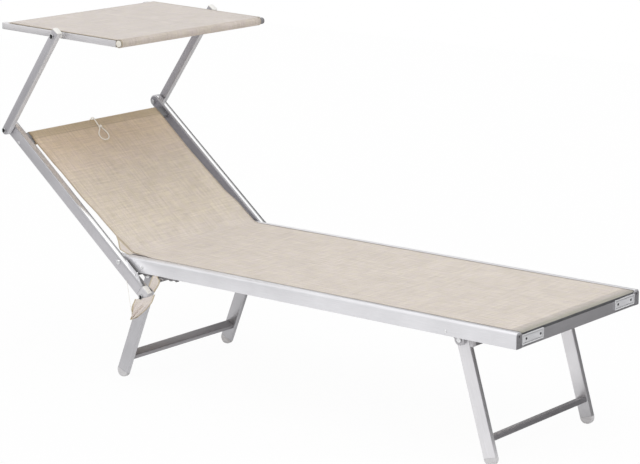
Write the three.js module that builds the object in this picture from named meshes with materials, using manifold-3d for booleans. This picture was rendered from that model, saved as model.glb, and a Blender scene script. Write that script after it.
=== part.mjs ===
// A sun lounger with a folding canopy: tubular frame, mesh sling, notched recline latch.
// Lengths are in millimetres. +X points to the foot end and +Z up; right is -Y, left is +Y.

import * as THREE from 'three';
import { mergeVertices } from 'three/addons/utils/BufferGeometryUtils.js';
import Module from 'manifold-3d';

const wasm = await Module();
wasm.setup();

const rightSide = -1;
const leftSide = 1;
const sideNames = new Map([[rightSide, 'right'], [leftSide, 'left']]);

// Clearances, and how finely round shapes are cut
const fit = 0.3; // between pieces that seat on each other
const boltClearance = 0.5; // round a bolt's shank
const overrun = 10; // how far a cutting shape passes the piece it cuts
const mergeDistance = 0.0001;
const cornerSegments = 2;
const arcSegments = 6;
const holeSides = 12;
const boltSides = 10;
const tubeSides = 16;
const endSides = 24;

// Seat frame
const seatLength = 1420;
const seatWidth = 600; // over the outer faces of the seat rails
const seatHeight = 394; // floor to the top of the seat rails
const seatRailHeight = 44;
const seatRailWidth = 25;
const seatRailTopRound = 8;
const seatRailCorner = 2;
const tubeWall = 2;
const rebateWidth = 5; // step in the rail's inner top edge that the sling sits in
const footRailDepth = 28;
const footRailHeight = 36.5;
const rearTubeDiameter = 22;
const rearTubeInset = 16;
const cornerPlateLength = 99;
const cornerPlateHeight = 29;
const cornerPlateThickness = 2;
const cornerPlateRise = 7; // above the underside of the foot rail

// Sling
const slingThickness = 2.4;
const seatSlingDrop = 2; // top of the sling below the top of the rails
const seatSlingLift = 0.5; // underside of the sling above the floor of the rebate
const seatSlingSag = 6;
const seatSlingRearGap = 4; // from the backrest hinge to the sling's rear end
const seatSlingFootGap = 4;
const seatSlingTaperLength = 90;
const seatSlingRearInset = 13; // edge of its rear end to the seat rail's inner face
const seatSlingCurl = 2; // how far the foot end curls down
const seatSlingCurlLength = 12;
const seatSlingEdgePower = 8; // how sharply the curl dies out at the side edges
const seatSlingGrid = [8, 14];
const backSlingGrid = [6, 12];
const backSlingEdgeGap = 15; // to the backrest rail, where the sling is widest
const backSlingRise = 10; // above the hinge line at the bend
const backSlingStart = 6; // up the backrest from the hinge
// Rows of the back sling: place between hinge and head bar, and width, as shares
const backSlingRowShares = [
  [0, 0.89], [0.06, 0.9], [0.18, 0.927], [0.42, 0.95], [0.7, 0.969], [0.84, 0.996], [0.91, 1], [1, 0.98],
];
const headSleeveEdgeGap = 22; // to the backrest rail

// Legs, one pair at each end of the seat
const legWidth = 40;
const legThickness = 16;
const legInset = 31; // from the seat rail's inner face to the leg's outer face
const legPivotDrop = 62; // below the top of the seat rails
const frontPivotInset = 210; // from the foot end
const rearPivotInset = 91.5; // from the head end
const frontLean = THREE.MathUtils.degToRad(-16.7);
const rearLean = THREE.MathUtils.degToRad(21.6);
const legWall = 2;
const legCorner = 2.5;
const footFlat = 1.5; // depth of the flat on the round end of a foot
const footRise = 1; // from the centre of the round end to the foot's upper edge
const plugLength = 12; // of a cap's plug inside its tube
const lowerBarWidth = 30;
const lowerBarThickness = 15;
const lowerBarRise = 76; // from the floor to the bar's top, up the leg
const upperBarHeight = 30;
const upperBarThickness = 15;
const upperBarDrop = 2.5; // below the leg pivot
const crossBarCorner = 2.5;

// Leg brackets
const bracketPlate = 12;
const bracketLobeRadius = 16;
const bracketTabBack = 5.5;
const bracketTabReach = 38.5;
const bracketTabBottom = 20; // above the leg pivot
const bracketTabTop = 50;

// Bolts
const boltRadius = 4;
const boltHeadRadius = 7.5;
const boltHeadHeight = 4;
const boltHeadEdge = 1;
const socketRadius = 3.2;
const socketDepth = 2.6;
const collarRadius = 9;
const nutRadius = 6.5;
const nutHeight = 5;

// Backrest
const hingeInset = 43; // from the head end of the seat rails
const hingeDrop = 14; // below the top of the seat rails
const reclineAngle = THREE.MathUtils.degToRad(39.1);
const backGap = 4; // between seat rail and backrest rail
const backRailHeight = 36;
const backRailWidth = 25;
const backRailCorner = 4;
const backRailDrop = 7.5; // rail centreline below the hinge line
const backRailAbove = 575;
const backRailBelow = 146;
const headBarWidth = 40;
const headBarThickness = 15;
const headBarInset = 50; // from the top of the backrest rails
const headBarCorner = 3;

// Recline latch: links that hang from the rails' lower ends, their pegs under the racks
const latchPivotInset = 20; // from the lower end of the backrest rail
const latchPivotDrop = 15.5; // below the hinge line
const linkLength = 60;
const linkWidth = 14;
const linkThickness = 2.6;
const pegDiameter = 9;
const pegDrop = 15; // peg centre below the seat rail
const rackWidth = 14;
const rackOuterGap = 2; // from the rail's outer face
const rackInset = 90; // from the head end of the seat rails
const rackNotches = 6;
const rackPitch = 25;
const rackHeight = 6.4;
const rackNotchDepth = 3.6;
// Outline of one notch, as shares of its pitch and depth
const rackNotchShares = [[0.25, 0], [0.5, 1], [0.75, 1], [1, 0]];

// Cloth tie round the lower end of each backrest rail
const tieThickness = 1.8;
const tieBandStart = THREE.MathUtils.degToRad(185);
const tieBandEnd = THREE.MathUtils.degToRad(300);
const tieLength = 64; // from the end of the rail to the tip of the flap
const tieWidth = 80;
// Outline of the flap, as shares of its width and length, from the middle of the rail's end
const tieShares = [
  [-0.5, 0], [-0.66, 0.49], [-0.7, 1], [-0.39, 0.88], [0.05, 0.41], [0.32, 0.02], [0.46, -0.38],
  [0.3, -0.44], [0.04, -0.02], [-0.25, 0.08],
];

// Canopy arms
const armGap = 2.5; // between backrest rail and arm
const armWidth = 25;
const armThickness = 20;
const armCorner = 2.5;
const armPivotInset = 18; // from the top of the backrest rail
const armPivotDrop = 10.8; // below the hinge line
const armLength = 367.8; // between its two pivots
const armLean = THREE.MathUtils.degToRad(35);
const armAbove = 22; // beyond the canopy pivot
const armOffset = 1.5; // arm's centreline in front of its pivots
const armCapThickness = 3;

// Canopy
const canopyTilt = THREE.MathUtils.degToRad(1.6);
const canopyBarSize = 20;
const canopyBarCorner = 2;
const canopyBarHalf = 232;
const canopyBarSetback = 10; // of the bars' middle behind the canopy pivot
const canopyGap = 14.5; // between arm and side bar, filled by a collar on the bolt
const canopyTubeDiameter = 20;
const canopyTubeRise = 2; // front tube above the side bars' centreline
const rearBarDiameter = 16;
const rearBarInset = 33; // from the rear end of the side bars
const roundTubeWall = 1.5;
const fabricThickness = 1.8;
const fabricLift = 1; // over the side bars
const fabricSag = 4;
const fabricEndGap = 25; // from the side bars' rear end
const fabricGrid = [6, 8];

// Pull cord, leaving the back of the head bar and ending in a small loop on the sling
const cordDiameter = 4;
// The cord's route: across (y), up the backrest, and out from the hinge line
const cordRoute = [
  [-6.5, 505, -18.2], [-6.5, 505.4, -22], [-6.5, 509, -26.5], [-6.5, 516, -28.5], [-6.5, 524, -26.5],
  [-6.5, 530.5, -20], [-6.5, 532.5, -12], [-6.5, 532.5, -4], [-6.5, 529.5, 3], [-7, 522, 5.7],
  [-8.5, 512, 5.6], [-10, 500, 5.5], [-11.5, 490, 5.6], [-17, 480, 5.7], [-26, 472, 5.9],
  [-35, 463, 6.1], [-39, 452, 6.3], [-37, 441.5, 6.4], [-29, 436, 6.4], [-18, 436.5, 6.4],
  [-8, 442, 6.3], [-2, 451, 6.2], [0, 461, 6], [-1.5, 471, 5.8], [-4, 479, 5.7],
  [-5.5, 485, 5.6],
];
const cordSteps = 52;
const cordSegments = 4;

// Materials
function finish(color, roughness, metalness) {
  return new THREE.MeshStandardMaterial({ color, roughness, metalness });
}

const aluminium = finish(0xc6c6ca, 0.42, 0.9);
const greyPlastic = finish(0xc2c1c4, 0.6, 0);
const whitePlastic = finish(0xecebe8, 0.5, 0);
const steel = finish(0xb4b4b6, 0.3, 1);
const seatCloth = finish(0xddd6c8, 0.9, 0);
const backCloth = finish(0xcdc0a6, 0.9, 0);
const canopyCloth = finish(0xd8d2cb, 0.9, 0);
const cordWhite = finish(0xeeeae2, 0.8, 0);

// Places that several pieces share
const railOuterY = seatWidth / 2;
const railInnerY = railOuterY - seatRailWidth;
const railBottomZ = seatHeight - seatRailHeight;
const backInnerY = railOuterY + backGap;
const backOuterY = backInnerY + backRailWidth;
const armInnerY = backOuterY + armGap;
const armOuterY = armInnerY + armThickness;
const canopyOuterY = armInnerY - canopyGap;
const canopyInnerY = canopyOuterY - canopyBarSize;
const legOuterY = railInnerY - legInset;
const legInnerY = legOuterY - legThickness;
const bracketInnerY = legOuterY + fit;
const legPivotZ = seatHeight - legPivotDrop;
const hingeX = hingeInset - seatLength;
const hingeZ = seatHeight - hingeDrop;
const backSlingWidth = 2 * (backInnerY - backSlingEdgeGap);
const headSleeveWidth = 2 * (backInnerY - headSleeveEdgeGap);
const headBarTop = backRailAbove - headBarInset;
const headBarBottom = headBarTop - headBarWidth;
const armPivotUp = backRailAbove - armPivotInset;
const latchPivotUp = latchPivotInset - backRailBelow;

const lounger = new THREE.Group();

function add(parent, name, geometry, material) {
  const mesh = new THREE.Mesh(geometry, material);
  mesh.name = name;
  parent.add(mesh);
  return mesh;
}

function toSolid(geometry) {
  const bare = geometry.clone();
  bare.deleteAttribute('normal');
  bare.deleteAttribute('uv');
  const merged = mergeVertices(bare, mergeDistance);
  const corners = Array.from(merged.index.array);
  const kept = [];
  for (let first = 0; first < corners.length; first += 3) {
    const triangle = corners.slice(first, first + 3);
    if (new Set(triangle).size === 3) kept.push(...triangle);
  }
  return new wasm.Manifold(new wasm.Mesh({
    numProp: 3,
    vertProperties: new Float32Array(merged.attributes.position.array),
    triVerts: new Uint32Array(kept),
  }));
}

function toGeometry(solid) {
  const mesh = solid.getMesh();
  const geometry = new THREE.BufferGeometry();
  geometry.setAttribute('position', new THREE.BufferAttribute(new Float32Array(mesh.vertProperties), 3));
  geometry.setIndex(new THREE.BufferAttribute(new Uint32Array(mesh.triVerts), 1));
  geometry.computeVertexNormals();
  return geometry;
}

function cut(geometry, tools) {
  return toGeometry(tools.reduce((solid, tool) => solid.subtract(toSolid(tool)), toSolid(geometry)));
}

function join(geometries) {
  const [first, ...others] = geometries.map(toSolid);
  return toGeometry(others.reduce((solid, more) => solid.add(more), first));
}

function roundedRectangle(path, width, height, radius) {
  const x = width / 2 - radius;
  const y = height / 2 - radius;
  path.absarc(x, y, radius, 0, Math.PI / 2);
  path.absarc(-x, y, radius, Math.PI / 2, Math.PI);
  path.absarc(-x, -y, radius, Math.PI, 1.5 * Math.PI);
  path.absarc(x, -y, radius, 1.5 * Math.PI, 2 * Math.PI);
  return path;
}

function extrude(shape, depth, curveSegments = cornerSegments) {
  return new THREE.ExtrudeGeometry(shape, { depth, bevelEnabled: false, curveSegments });
}

// Hollow rectangular tube along local z: its width runs along x and its thickness along y
function flatTube(width, thickness, wall, corner, fromZ, toZ) {
  const length = toZ - fromZ;
  const outside = extrude(roundedRectangle(new THREE.Shape(), width, thickness, corner), length);
  const bore = new THREE.BoxGeometry(width - 2 * wall, thickness - 2 * wall, length + 2 * overrun);
  return cut(outside, [bore.translate(0, 0, length / 2)]).translate(0, 0, fromZ);
}

// Hollow round tube along y, centred on the origin
function roundTube(radius, wall, length) {
  const outside = new THREE.CylinderGeometry(radius, radius, length, tubeSides);
  const bore = new THREE.CylinderGeometry(radius - wall, radius - wall, length + 2 * overrun, tubeSides);
  return cut(outside, [bore]);
}

// Solid cut from a shape drawn in x and z, between two distances from the middle of the lounger
function sidePlate(shape, side, nearY, farY, curveSegments = arcSegments) {
  const plate = extrude(shape, farY - nearY, curveSegments).rotateX(Math.PI / 2);
  return plate.translate(0, side === leftSide ? farY : -nearY, 0);
}

// Round hole along y through everything near a point
function boltHole(x, y, z, depth) {
  const radius = boltRadius + boltClearance;
  const tool = new THREE.CylinderGeometry(radius, radius, depth + 2 * overrun, holeSides);
  return tool.translate(x, y, z);
}

// Removes what lies outside a round end of a tube that runs along z
function roundEnd(width, thickness, centreZ, upwards) {
  const half = width / 2;
  const block = new THREE.BoxGeometry(width + 2 * overrun, thickness + 2 * overrun, half + overrun);
  block.translate(0, 0, upwards * (half + overrun) / 2);
  const round = new THREE.CylinderGeometry(half, half, thickness + 4 * overrun, endSides);
  const tool = cut(block, [round]);
  return tool.translate(0, 0, centreZ);
}

// Bolt along y with a socket head outside and a nut inside, given by the faces it holds.
// A collar, given by its two ends, keeps two of the pieces on it apart.
function bolt(parent, name, side, x, z, innerFace, outerFace, { withNut = true, collar = null } = {}) {
  const headBottom = outerFace + fit;
  const headTop = headBottom + boltHeadHeight;
  const shankBottom = innerFace - fit;
  const profile = [];
  if (withNut) {
    const nutEnd = shankBottom - nutHeight;
    profile.push([0, nutEnd], [nutRadius, nutEnd], [nutRadius, shankBottom], [boltRadius, shankBottom]);
  } else {
    profile.push([0, innerFace], [boltRadius, innerFace]);
  }
  if (collar) {
    const [from, to] = collar;
    profile.push([boltRadius, from], [collarRadius, from], [collarRadius, to], [boltRadius, to]);
  }
  profile.push([boltRadius, headBottom], [boltHeadRadius, headBottom]);
  profile.push([boltHeadRadius, headTop - boltHeadEdge], [boltHeadRadius - boltHeadEdge, headTop]);
  profile.push([socketRadius, headTop]);
  profile.push([socketRadius, headTop - socketDepth], [0, headTop - socketDepth]);
  const points = profile.map(([radius, y]) => new THREE.Vector2(radius, y));
  const mesh = add(parent, name, new THREE.LatheGeometry(points, boltSides), steel);
  mesh.position.set(x, 0, z);
  mesh.rotation.x = side === leftSide ? 0 : Math.PI;
  return mesh;
}

// Closed sheet on a grid of top points, its thickness taken along one direction
function sheet(columns, rows, topPoint, thicknessVector) {
  const positions = [];
  const index = [];
  for (const offset of [new THREE.Vector3(), thicknessVector]) {
    for (let row = 0; row <= rows; row += 1) {
      for (let column = 0; column <= columns; column += 1) {
        const point = topPoint(column / columns, row / rows).add(offset);
        positions.push(point.x, point.y, point.z);
      }
    }
  }
  const layer = (columns + 1) * (rows + 1);
  const corner = (column, row) => row * (columns + 1) + column;
  const quad = (a, b, c, d) => index.push(a, b, c, a, c, d);
  for (let row = 0; row < rows; row += 1) {
    for (let column = 0; column < columns; column += 1) {
      const around = [corner(column, row), corner(column + 1, row)];
      around.push(corner(column + 1, row + 1), corner(column, row + 1));
      quad(...around);
      quad(...around.map((vertex) => vertex + layer).reverse());
    }
  }
  const rim = [];
  for (let column = 0; column < columns; column += 1) rim.push(corner(column, 0));
  for (let row = 0; row < rows; row += 1) rim.push(corner(columns, row));
  for (let column = columns; column > 0; column -= 1) rim.push(corner(column, rows));
  for (let row = rows; row > 0; row -= 1) rim.push(corner(0, row));
  rim.forEach((vertex, place) => {
    const next = rim[(place + 1) % rim.length];
    quad(next, vertex, vertex + layer, next + layer);
  });
  const geometry = new THREE.BufferGeometry();
  geometry.setAttribute('position', new THREE.Float32BufferAttribute(positions, 3));
  geometry.setIndex(index);
  geometry.computeVertexNormals();
  return geometry;
}

// Seat rails
function seatRailSection() {
  const halfWidth = seatRailWidth / 2;
  const halfHeight = seatRailHeight / 2;
  const rebateDepth = seatSlingDrop + slingThickness + seatSlingLift;
  const low = seatRailCorner - halfHeight;
  const out = halfWidth - seatRailCorner;
  const section = new THREE.Shape();
  section.moveTo(-halfWidth, halfHeight - rebateDepth);
  section.lineTo(-halfWidth, low);
  section.absarc(-out, low, seatRailCorner, Math.PI, 1.5 * Math.PI);
  section.absarc(out, low, seatRailCorner, 1.5 * Math.PI, 2 * Math.PI);
  const topRound = [halfWidth - seatRailTopRound, halfHeight - seatRailTopRound, seatRailTopRound];
  section.absarc(...topRound, 0, Math.PI / 2);
  section.lineTo(rebateWidth - halfWidth, halfHeight);
  section.lineTo(rebateWidth - halfWidth, halfHeight - rebateDepth);
  return section;
}

function seatRailBore() {
  const height = seatRailHeight - seatSlingDrop - slingThickness - seatSlingLift - 2 * tubeWall;
  const bore = new THREE.BoxGeometry(seatLength + 2 * overrun, seatRailWidth - 2 * tubeWall, height);
  return bore.translate(0, 0, tubeWall + (height - seatRailHeight) / 2);
}

const acrossSection = new THREE.Matrix4().makeBasis(
  new THREE.Vector3(0, 1, 0),
  new THREE.Vector3(0, 0, 1),
  new THREE.Vector3(1, 0, 0),
);

function buildSeatRail(side) {
  const outside = extrude(seatRailSection(), seatLength).applyMatrix4(acrossSection);
  outside.translate(-seatLength / 2, 0, 0);
  const rail = cut(outside, [seatRailBore()]);
  if (side === rightSide) rail.rotateZ(Math.PI);
  const centreY = side * (railOuterY - seatRailWidth / 2);
  rail.translate(-seatLength / 2, centreY, seatHeight - seatRailHeight / 2);
  const drilled = cut(rail, [boltHole(hingeX, centreY, hingeZ, seatRailWidth)]);
  add(lounger, `seat_rail_${sideNames.get(side)}`, drilled, aluminium);
}

function buildSeatEnds() {
  const between = 2 * (railInnerY - fit);
  const ends = [-between / 2, between / 2];
  const footRail = flatTube(footRailDepth, footRailHeight, tubeWall, seatRailCorner, ...ends);
  footRail.rotateX(Math.PI / 2);
  footRail.translate(-footRailDepth / 2, 0, railBottomZ + footRailHeight / 2);
  add(lounger, 'foot_rail', footRail, aluminium);
  const rearTube = roundTube(rearTubeDiameter / 2, tubeWall, between);
  rearTube.translate(rearTubeInset - seatLength, 0, railBottomZ + seatRailHeight / 2);
  add(lounger, 'rear_cross_tube', rearTube, aluminium);
}

function buildCornerPlate(side) {
  const plate = new THREE.BoxGeometry(cornerPlateThickness, cornerPlateLength, cornerPlateHeight);
  const y = side * (railInnerY - fit - cornerPlateLength / 2);
  const z = railBottomZ + cornerPlateRise + cornerPlateHeight / 2;
  plate.translate(fit + cornerPlateThickness / 2, y, z);
  add(lounger, `corner_plate_${sideNames.get(side)}`, plate, greyPlastic);
}

function buildSeatSling() {
  const rearX = hingeX + seatSlingRearGap;
  const length = -seatSlingFootGap - rearX;
  const fullHalf = railInnerY + rebateWidth - fit;
  const topPoint = (across, along) => {
    const share = (1 - Math.cos(Math.PI * along)) / 2;
    const x = rearX + share * length;
    const widening = THREE.MathUtils.smoothstep(x - rearX, 0, seatSlingTaperLength);
    const half = THREE.MathUtils.lerp(railInnerY - seatSlingRearInset, fullHalf, widening);
    const place = 2 * across - 1;
    const sag = seatSlingSag * Math.sin(Math.PI * share) * (1 - place * place);
    const curl = seatSlingCurl * Math.max(0, 1 + (x + seatSlingFootGap) / seatSlingCurlLength);
    const z = seatHeight - seatSlingDrop - sag - curl * (1 - place ** seatSlingEdgePower);
    return new THREE.Vector3(x, -place * half, z);
  };
  const sling = sheet(...seatSlingGrid, topPoint, new THREE.Vector3(0, 0, -slingThickness));
  add(lounger, 'seat_sling', sling, seatCloth);
}

// Leg brackets, drawn for the rear left leg with the pivot at the origin
function bracketGeometry(side) {
  const shape = new THREE.Shape();
  shape.moveTo(-bracketTabBack, bracketTabTop);
  shape.lineTo(-bracketLobeRadius, 0);
  shape.absarc(0, 0, bracketLobeRadius, Math.PI, 2 * Math.PI);
  shape.lineTo(bracketTabReach, bracketTabBottom);
  shape.lineTo(bracketTabReach, bracketTabTop);
  const plate = sidePlate(shape, side, bracketInnerY, bracketInnerY + bracketPlate);
  const tab = new THREE.Shape();
  tab.moveTo(-bracketTabBack, bracketTabBottom);
  tab.lineTo(bracketTabReach, bracketTabBottom);
  tab.lineTo(bracketTabReach, bracketTabTop);
  tab.lineTo(-bracketTabBack, bracketTabTop);
  const block = sidePlate(tab, side, bracketInnerY + bracketPlate / 2, railInnerY - fit);
  const centreY = side * (bracketInnerY + bracketPlate / 2);
  return cut(join([plate, block]), [boltHole(0, centreY, 0, bracketPlate)]);
}

function buildBracket(setName, side, pivotX, towardsMiddle) {
  const drawnSide = side * towardsMiddle;
  const bracket = bracketGeometry(drawnSide);
  if (towardsMiddle < 0) bracket.rotateZ(Math.PI);
  bracket.translate(pivotX, 0, legPivotZ);
  add(lounger, `leg_bracket_${setName}_${sideNames.get(side)}`, bracket, aluminium);
}

// Cap with a plug for the end of a flat tube along local z; the plug points to -z
function tubeCap(width, thickness, wall, capDepth) {
  const plate = new THREE.BoxGeometry(width, thickness, capDepth).translate(0, 0, capDepth / 2);
  return join([plate, tubePlug(width, thickness, wall, fit)]);
}

function tubePlug(width, thickness, wall, intoCap) {
  const inside = 2 * (wall + fit);
  const plug = new THREE.BoxGeometry(width - inside, thickness - inside, plugLength + intoCap);
  return plug.translate(0, 0, (intoCap - plugLength) / 2);
}

function footGeometry(side, lean, reach) {
  const half = legWidth / 2;
  const outline = new THREE.Shape();
  outline.moveTo(half, footRise);
  outline.lineTo(-half, footRise);
  outline.absarc(0, 0, half, Math.PI, 2 * Math.PI);
  const foot = sidePlate(outline, side, legInnerY, legOuterY);
  const plug = tubePlug(legWidth, legThickness, legWall, overrun).rotateX(Math.PI);
  plug.translate(0, side * (legInnerY + legThickness / 2), footRise);
  const whole = join([foot, plug]).translate(0, 0, -reach).rotateY(lean);
  const floor = new THREE.BoxGeometry(seatWidth, seatWidth, seatWidth);
  floor.translate(0, 0, -legPivotZ - seatWidth / 2);
  return cut(whole, [floor]);
}

function buildLegSet(setName, pivotX, lean, towardsMiddle) {
  const set = new THREE.Group();
  set.position.set(pivotX, 0, legPivotZ);
  lounger.add(set);
  const leaning = new THREE.Group();
  leaning.rotation.y = lean;
  set.add(leaning);
  const reach = (legPivotZ - legWidth / 2 + footFlat) / Math.cos(lean);
  const barLength = 2 * (legInnerY - fit);
  for (const side of [rightSide, leftSide]) {
    const sideName = sideNames.get(side);
    const centreY = side * (legInnerY + legThickness / 2);
    buildBracket(setName, side, pivotX, towardsMiddle);
    const foot = footRise + fit - reach;
    const tube = flatTube(legWidth, legThickness, legWall, legCorner, foot, legWidth / 2);
    const tools = [roundEnd(legWidth, legThickness, 0, 1), boltHole(0, 0, 0, legThickness)];
    const leg = cut(tube, tools).translate(0, centreY, 0);
    add(leaning, `leg_${setName}_${sideName}`, leg, aluminium);
    add(set, `${setName}_foot_${sideName}`, footGeometry(side, lean, reach), greyPlastic);
    bolt(set, `${setName}_pivot_bolt_${sideName}`, side, 0, 0, legInnerY, bracketInnerY + bracketPlate);

    const cap = tubeCap(upperBarHeight, upperBarThickness, legWall, legThickness);
    cap.rotateZ(Math.PI / 2).rotateX(-side * Math.PI / 2);
    cap.translate(upperBarX(), side * legInnerY, -upperBarDrop);
    const legSpace = new THREE.BoxGeometry(legWidth + 2 * fit, legThickness + overrun, 2 * reach);
    legSpace.rotateY(lean).translate(0, centreY + side * overrun / 2, 0);
    add(set, `${setName}_bar_cap_${sideName}`, cut(cap, [legSpace]), greyPlastic);
  }
  const crossBar = [legWall, crossBarCorner, -barLength / 2, barLength / 2];
  const lowerBar = flatTube(lowerBarWidth, lowerBarThickness, ...crossBar);
  lowerBar.rotateX(Math.PI / 2);
  const footReach = reach + legWidth / 2 - footFlat;
  lowerBar.translate(0, 0, lowerBarRise - footReach - lowerBarThickness / 2);
  add(leaning, `${setName}_lower_bar`, lowerBar, aluminium);
  const upperBar = flatTube(upperBarThickness, upperBarHeight, ...crossBar);
  upperBar.rotateX(Math.PI / 2).translate(upperBarX(), 0, -upperBarDrop);
  add(set, `${setName}_upper_bar`, upperBar, aluminium);
}

function upperBarX() {
  return legWidth / 2 + fit + upperBarThickness / 2;
}

// Backrest, drawn with the hinge at the origin, z up the rails and x out of its front
const backrest = new THREE.Group();
backrest.position.set(hingeX, 0, hingeZ);
backrest.rotation.y = reclineAngle - Math.PI / 2;
lounger.add(backrest);

function buildBackRail(side) {
  const half = backRailHeight / 2;
  const ends = [-backRailBelow, backRailAbove];
  const tube = flatTube(backRailHeight, backRailWidth, tubeWall, backRailCorner, ...ends);
  const rail = cut(tube, [
    roundEnd(backRailHeight, backRailWidth, backRailAbove - half, 1),
    roundEnd(backRailHeight, backRailWidth, half - backRailBelow, -1),
    boltHole(backRailDrop, 0, 0, backRailWidth),
    boltHole(backRailDrop - armPivotDrop, 0, armPivotUp, backRailWidth),
    boltHole(backRailDrop - latchPivotDrop, 0, latchPivotUp, backRailWidth),
  ]);
  rail.translate(-backRailDrop, side * (backInnerY + backRailWidth / 2), 0);
  const sideName = sideNames.get(side);
  add(backrest, `back_rail_${sideName}`, rail, aluminium);
  bolt(backrest, `back_pivot_bolt_${sideName}`, side, 0, 0, railInnerY, backOuterY);
  const linkInner = backInnerY - (backGap + linkThickness) / 2;
  const latchHold = [-latchPivotDrop, latchPivotUp, linkInner, backOuterY];
  bolt(backrest, `latch_bolt_${sideName}`, side, ...latchHold, { withNut: false });
}

function buildHeadBar() {
  const length = 2 * (backInnerY - fit);
  const bar = flatTube(headBarThickness, headBarWidth, tubeWall, headBarCorner, -length / 2, length / 2);
  bar.rotateX(Math.PI / 2).translate(-headBarThickness / 2, 0, headBarTop - headBarWidth / 2);
  add(backrest, 'head_bar', bar, aluminium);
}

function backSlingWidthShare(share) {
  const next = backSlingRowShares.findIndex(([place]) => place >= share);
  if (next <= 0) return backSlingRowShares[0][1];
  const [fromPlace, fromWidth] = backSlingRowShares[next - 1];
  const [toPlace, toWidth] = backSlingRowShares[next];
  return THREE.MathUtils.lerp(fromWidth, toWidth, (share - fromPlace) / (toPlace - fromPlace));
}

function buildBackSling() {
  const endZ = headBarTop - headBarWidth / 2;
  const frontFace = fit + slingThickness;
  const topPoint = (across, along) => {
    const half = backSlingWidth * backSlingWidthShare(along) / 2;
    const x = THREE.MathUtils.lerp(backSlingRise, frontFace, along);
    const z = THREE.MathUtils.lerp(backSlingStart, endZ, along);
    return new THREE.Vector3(x, (2 * across - 1) * half, z);
  };
  const front = sheet(...backSlingGrid, topPoint, new THREE.Vector3(-slingThickness, 0, 0));
  const around = 2 * (fit + slingThickness);
  const corner = headBarCorner + fit;
  const sleeve = new THREE.Shape();
  roundedRectangle(sleeve, headBarThickness + around, headBarWidth + around, corner + slingThickness);
  const wrap = extrude(sleeve, headSleeveWidth).rotateX(Math.PI / 2);
  wrap.translate(-headBarThickness / 2, headSleeveWidth / 2, endZ);
  const barSpace = new THREE.Shape();
  roundedRectangle(barSpace, headBarThickness + 2 * fit, headBarWidth + 2 * fit, corner);
  const space = extrude(barSpace, headSleeveWidth + 2 * overrun).rotateX(Math.PI / 2);
  space.translate(-headBarThickness / 2, headSleeveWidth / 2 + overrun, endZ);
  add(backrest, 'back_sling', cut(join([wrap, front]), [space]), backCloth);
}

// Cloth tie: a band round the rail's lower end that hangs as a pointed flap outside it
function buildClothTie(side) {
  const half = backRailHeight / 2;
  const endZ = half - backRailBelow;
  const inner = half + fit;
  const outer = inner + tieThickness;
  const band = new THREE.Shape();
  band.absarc(0, 0, outer, tieBandStart, tieBandEnd);
  band.absarc(0, 0, inner, tieBandEnd, tieBandStart, true);
  const outerFace = backOuterY + fit;
  const strip = sidePlate(band, side, backInnerY, outerFace + tieThickness);
  const flap = new THREE.Shape();
  const flapPoint = ([across, down]) => new THREE.Vector2(across * tieWidth, -down * tieLength);
  flap.setFromPoints(tieShares.map(flapPoint));
  const plate = sidePlate(flap, side, outerFace, outerFace + tieThickness);
  plate.rotateY(Math.PI / 2 - reclineAngle).translate(0, 0, -half + fit);
  const tie = join([plate, strip]).translate(-backRailDrop, 0, endZ);
  add(backrest, `cloth_tie_${sideNames.get(side)}`, tie, backCloth);
}

function buildPullCord() {
  const points = cordRoute.map(([across, up, out]) => new THREE.Vector3(out, across, up));
  const path = new THREE.CatmullRomCurve3(points);
  const section = new THREE.Shape().absarc(0, 0, cordDiameter / 2, 0, 2 * Math.PI);
  const cord = new THREE.ExtrudeGeometry(section, {
    steps: cordSteps,
    extrudePath: path,
    curveSegments: cordSegments,
    bevelEnabled: false,
  });
  add(backrest, 'pull_cord', cord, cordWhite);
}

// Point of the backrest in the lounger's own x and z
function onBackrest(up, out) {
  const x = hingeX - up * Math.cos(reclineAngle) + out * Math.sin(reclineAngle);
  const z = hingeZ + up * Math.sin(reclineAngle) + out * Math.cos(reclineAngle);
  return new THREE.Vector3(x, 0, z);
}

// Recline latch and its racks
function buildLatch(side) {
  const pivot = onBackrest(latchPivotUp, -latchPivotDrop);
  const pegZ = railBottomZ - pegDrop;
  const lift = Math.asin((pegZ - pivot.z) / linkLength);
  const half = linkWidth / 2;
  const shape = new THREE.Shape();
  shape.absarc(0, 0, half, Math.PI / 2, 1.5 * Math.PI);
  shape.absarc(linkLength, 0, half, 1.5 * Math.PI, 2.5 * Math.PI);
  const inner = backInnerY - (backGap + linkThickness) / 2;
  const plate = sidePlate(shape, side, inner, inner + linkThickness);
  const bored = cut(plate, [boltHole(0, side * inner, 0, linkThickness)]);
  const rackInner = railOuterY - rackOuterGap - rackWidth;
  const pegLength = inner + linkThickness - rackInner;
  const peg = new THREE.CylinderGeometry(pegDiameter / 2, pegDiameter / 2, pegLength, holeSides);
  peg.translate(linkLength, side * (rackInner + pegLength / 2), 0);
  const link = join([bored, peg]).rotateY(-lift).translate(pivot.x, 0, pivot.z);
  add(lounger, `latch_link_${sideNames.get(side)}`, link, steel);

  const startX = rackInset - seatLength;
  const top = railBottomZ - fit;
  const bottom = top - rackHeight;
  const rack = new THREE.Shape();
  rack.moveTo(startX, top);
  rack.lineTo(startX, bottom);
  for (let notch = 0; notch < rackNotches; notch += 1) {
    for (const [along, deep] of rackNotchShares) {
      rack.lineTo(startX + (notch + along) * rackPitch, bottom + deep * rackNotchDepth);
    }
  }
  rack.lineTo(startX + rackNotches * rackPitch, top);
  const strip = sidePlate(rack, side, rackInner, rackInner + rackWidth);
  add(lounger, `notch_rack_${sideNames.get(side)}`, strip, greyPlastic);
}

// Canopy arms, drawn with the lower pivot at the origin and z up the arm
const armPivot = onBackrest(armPivotUp, -armPivotDrop);
const arms = new THREE.Group();
arms.position.copy(armPivot);
arms.rotation.y = armLean;
lounger.add(arms);

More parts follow.
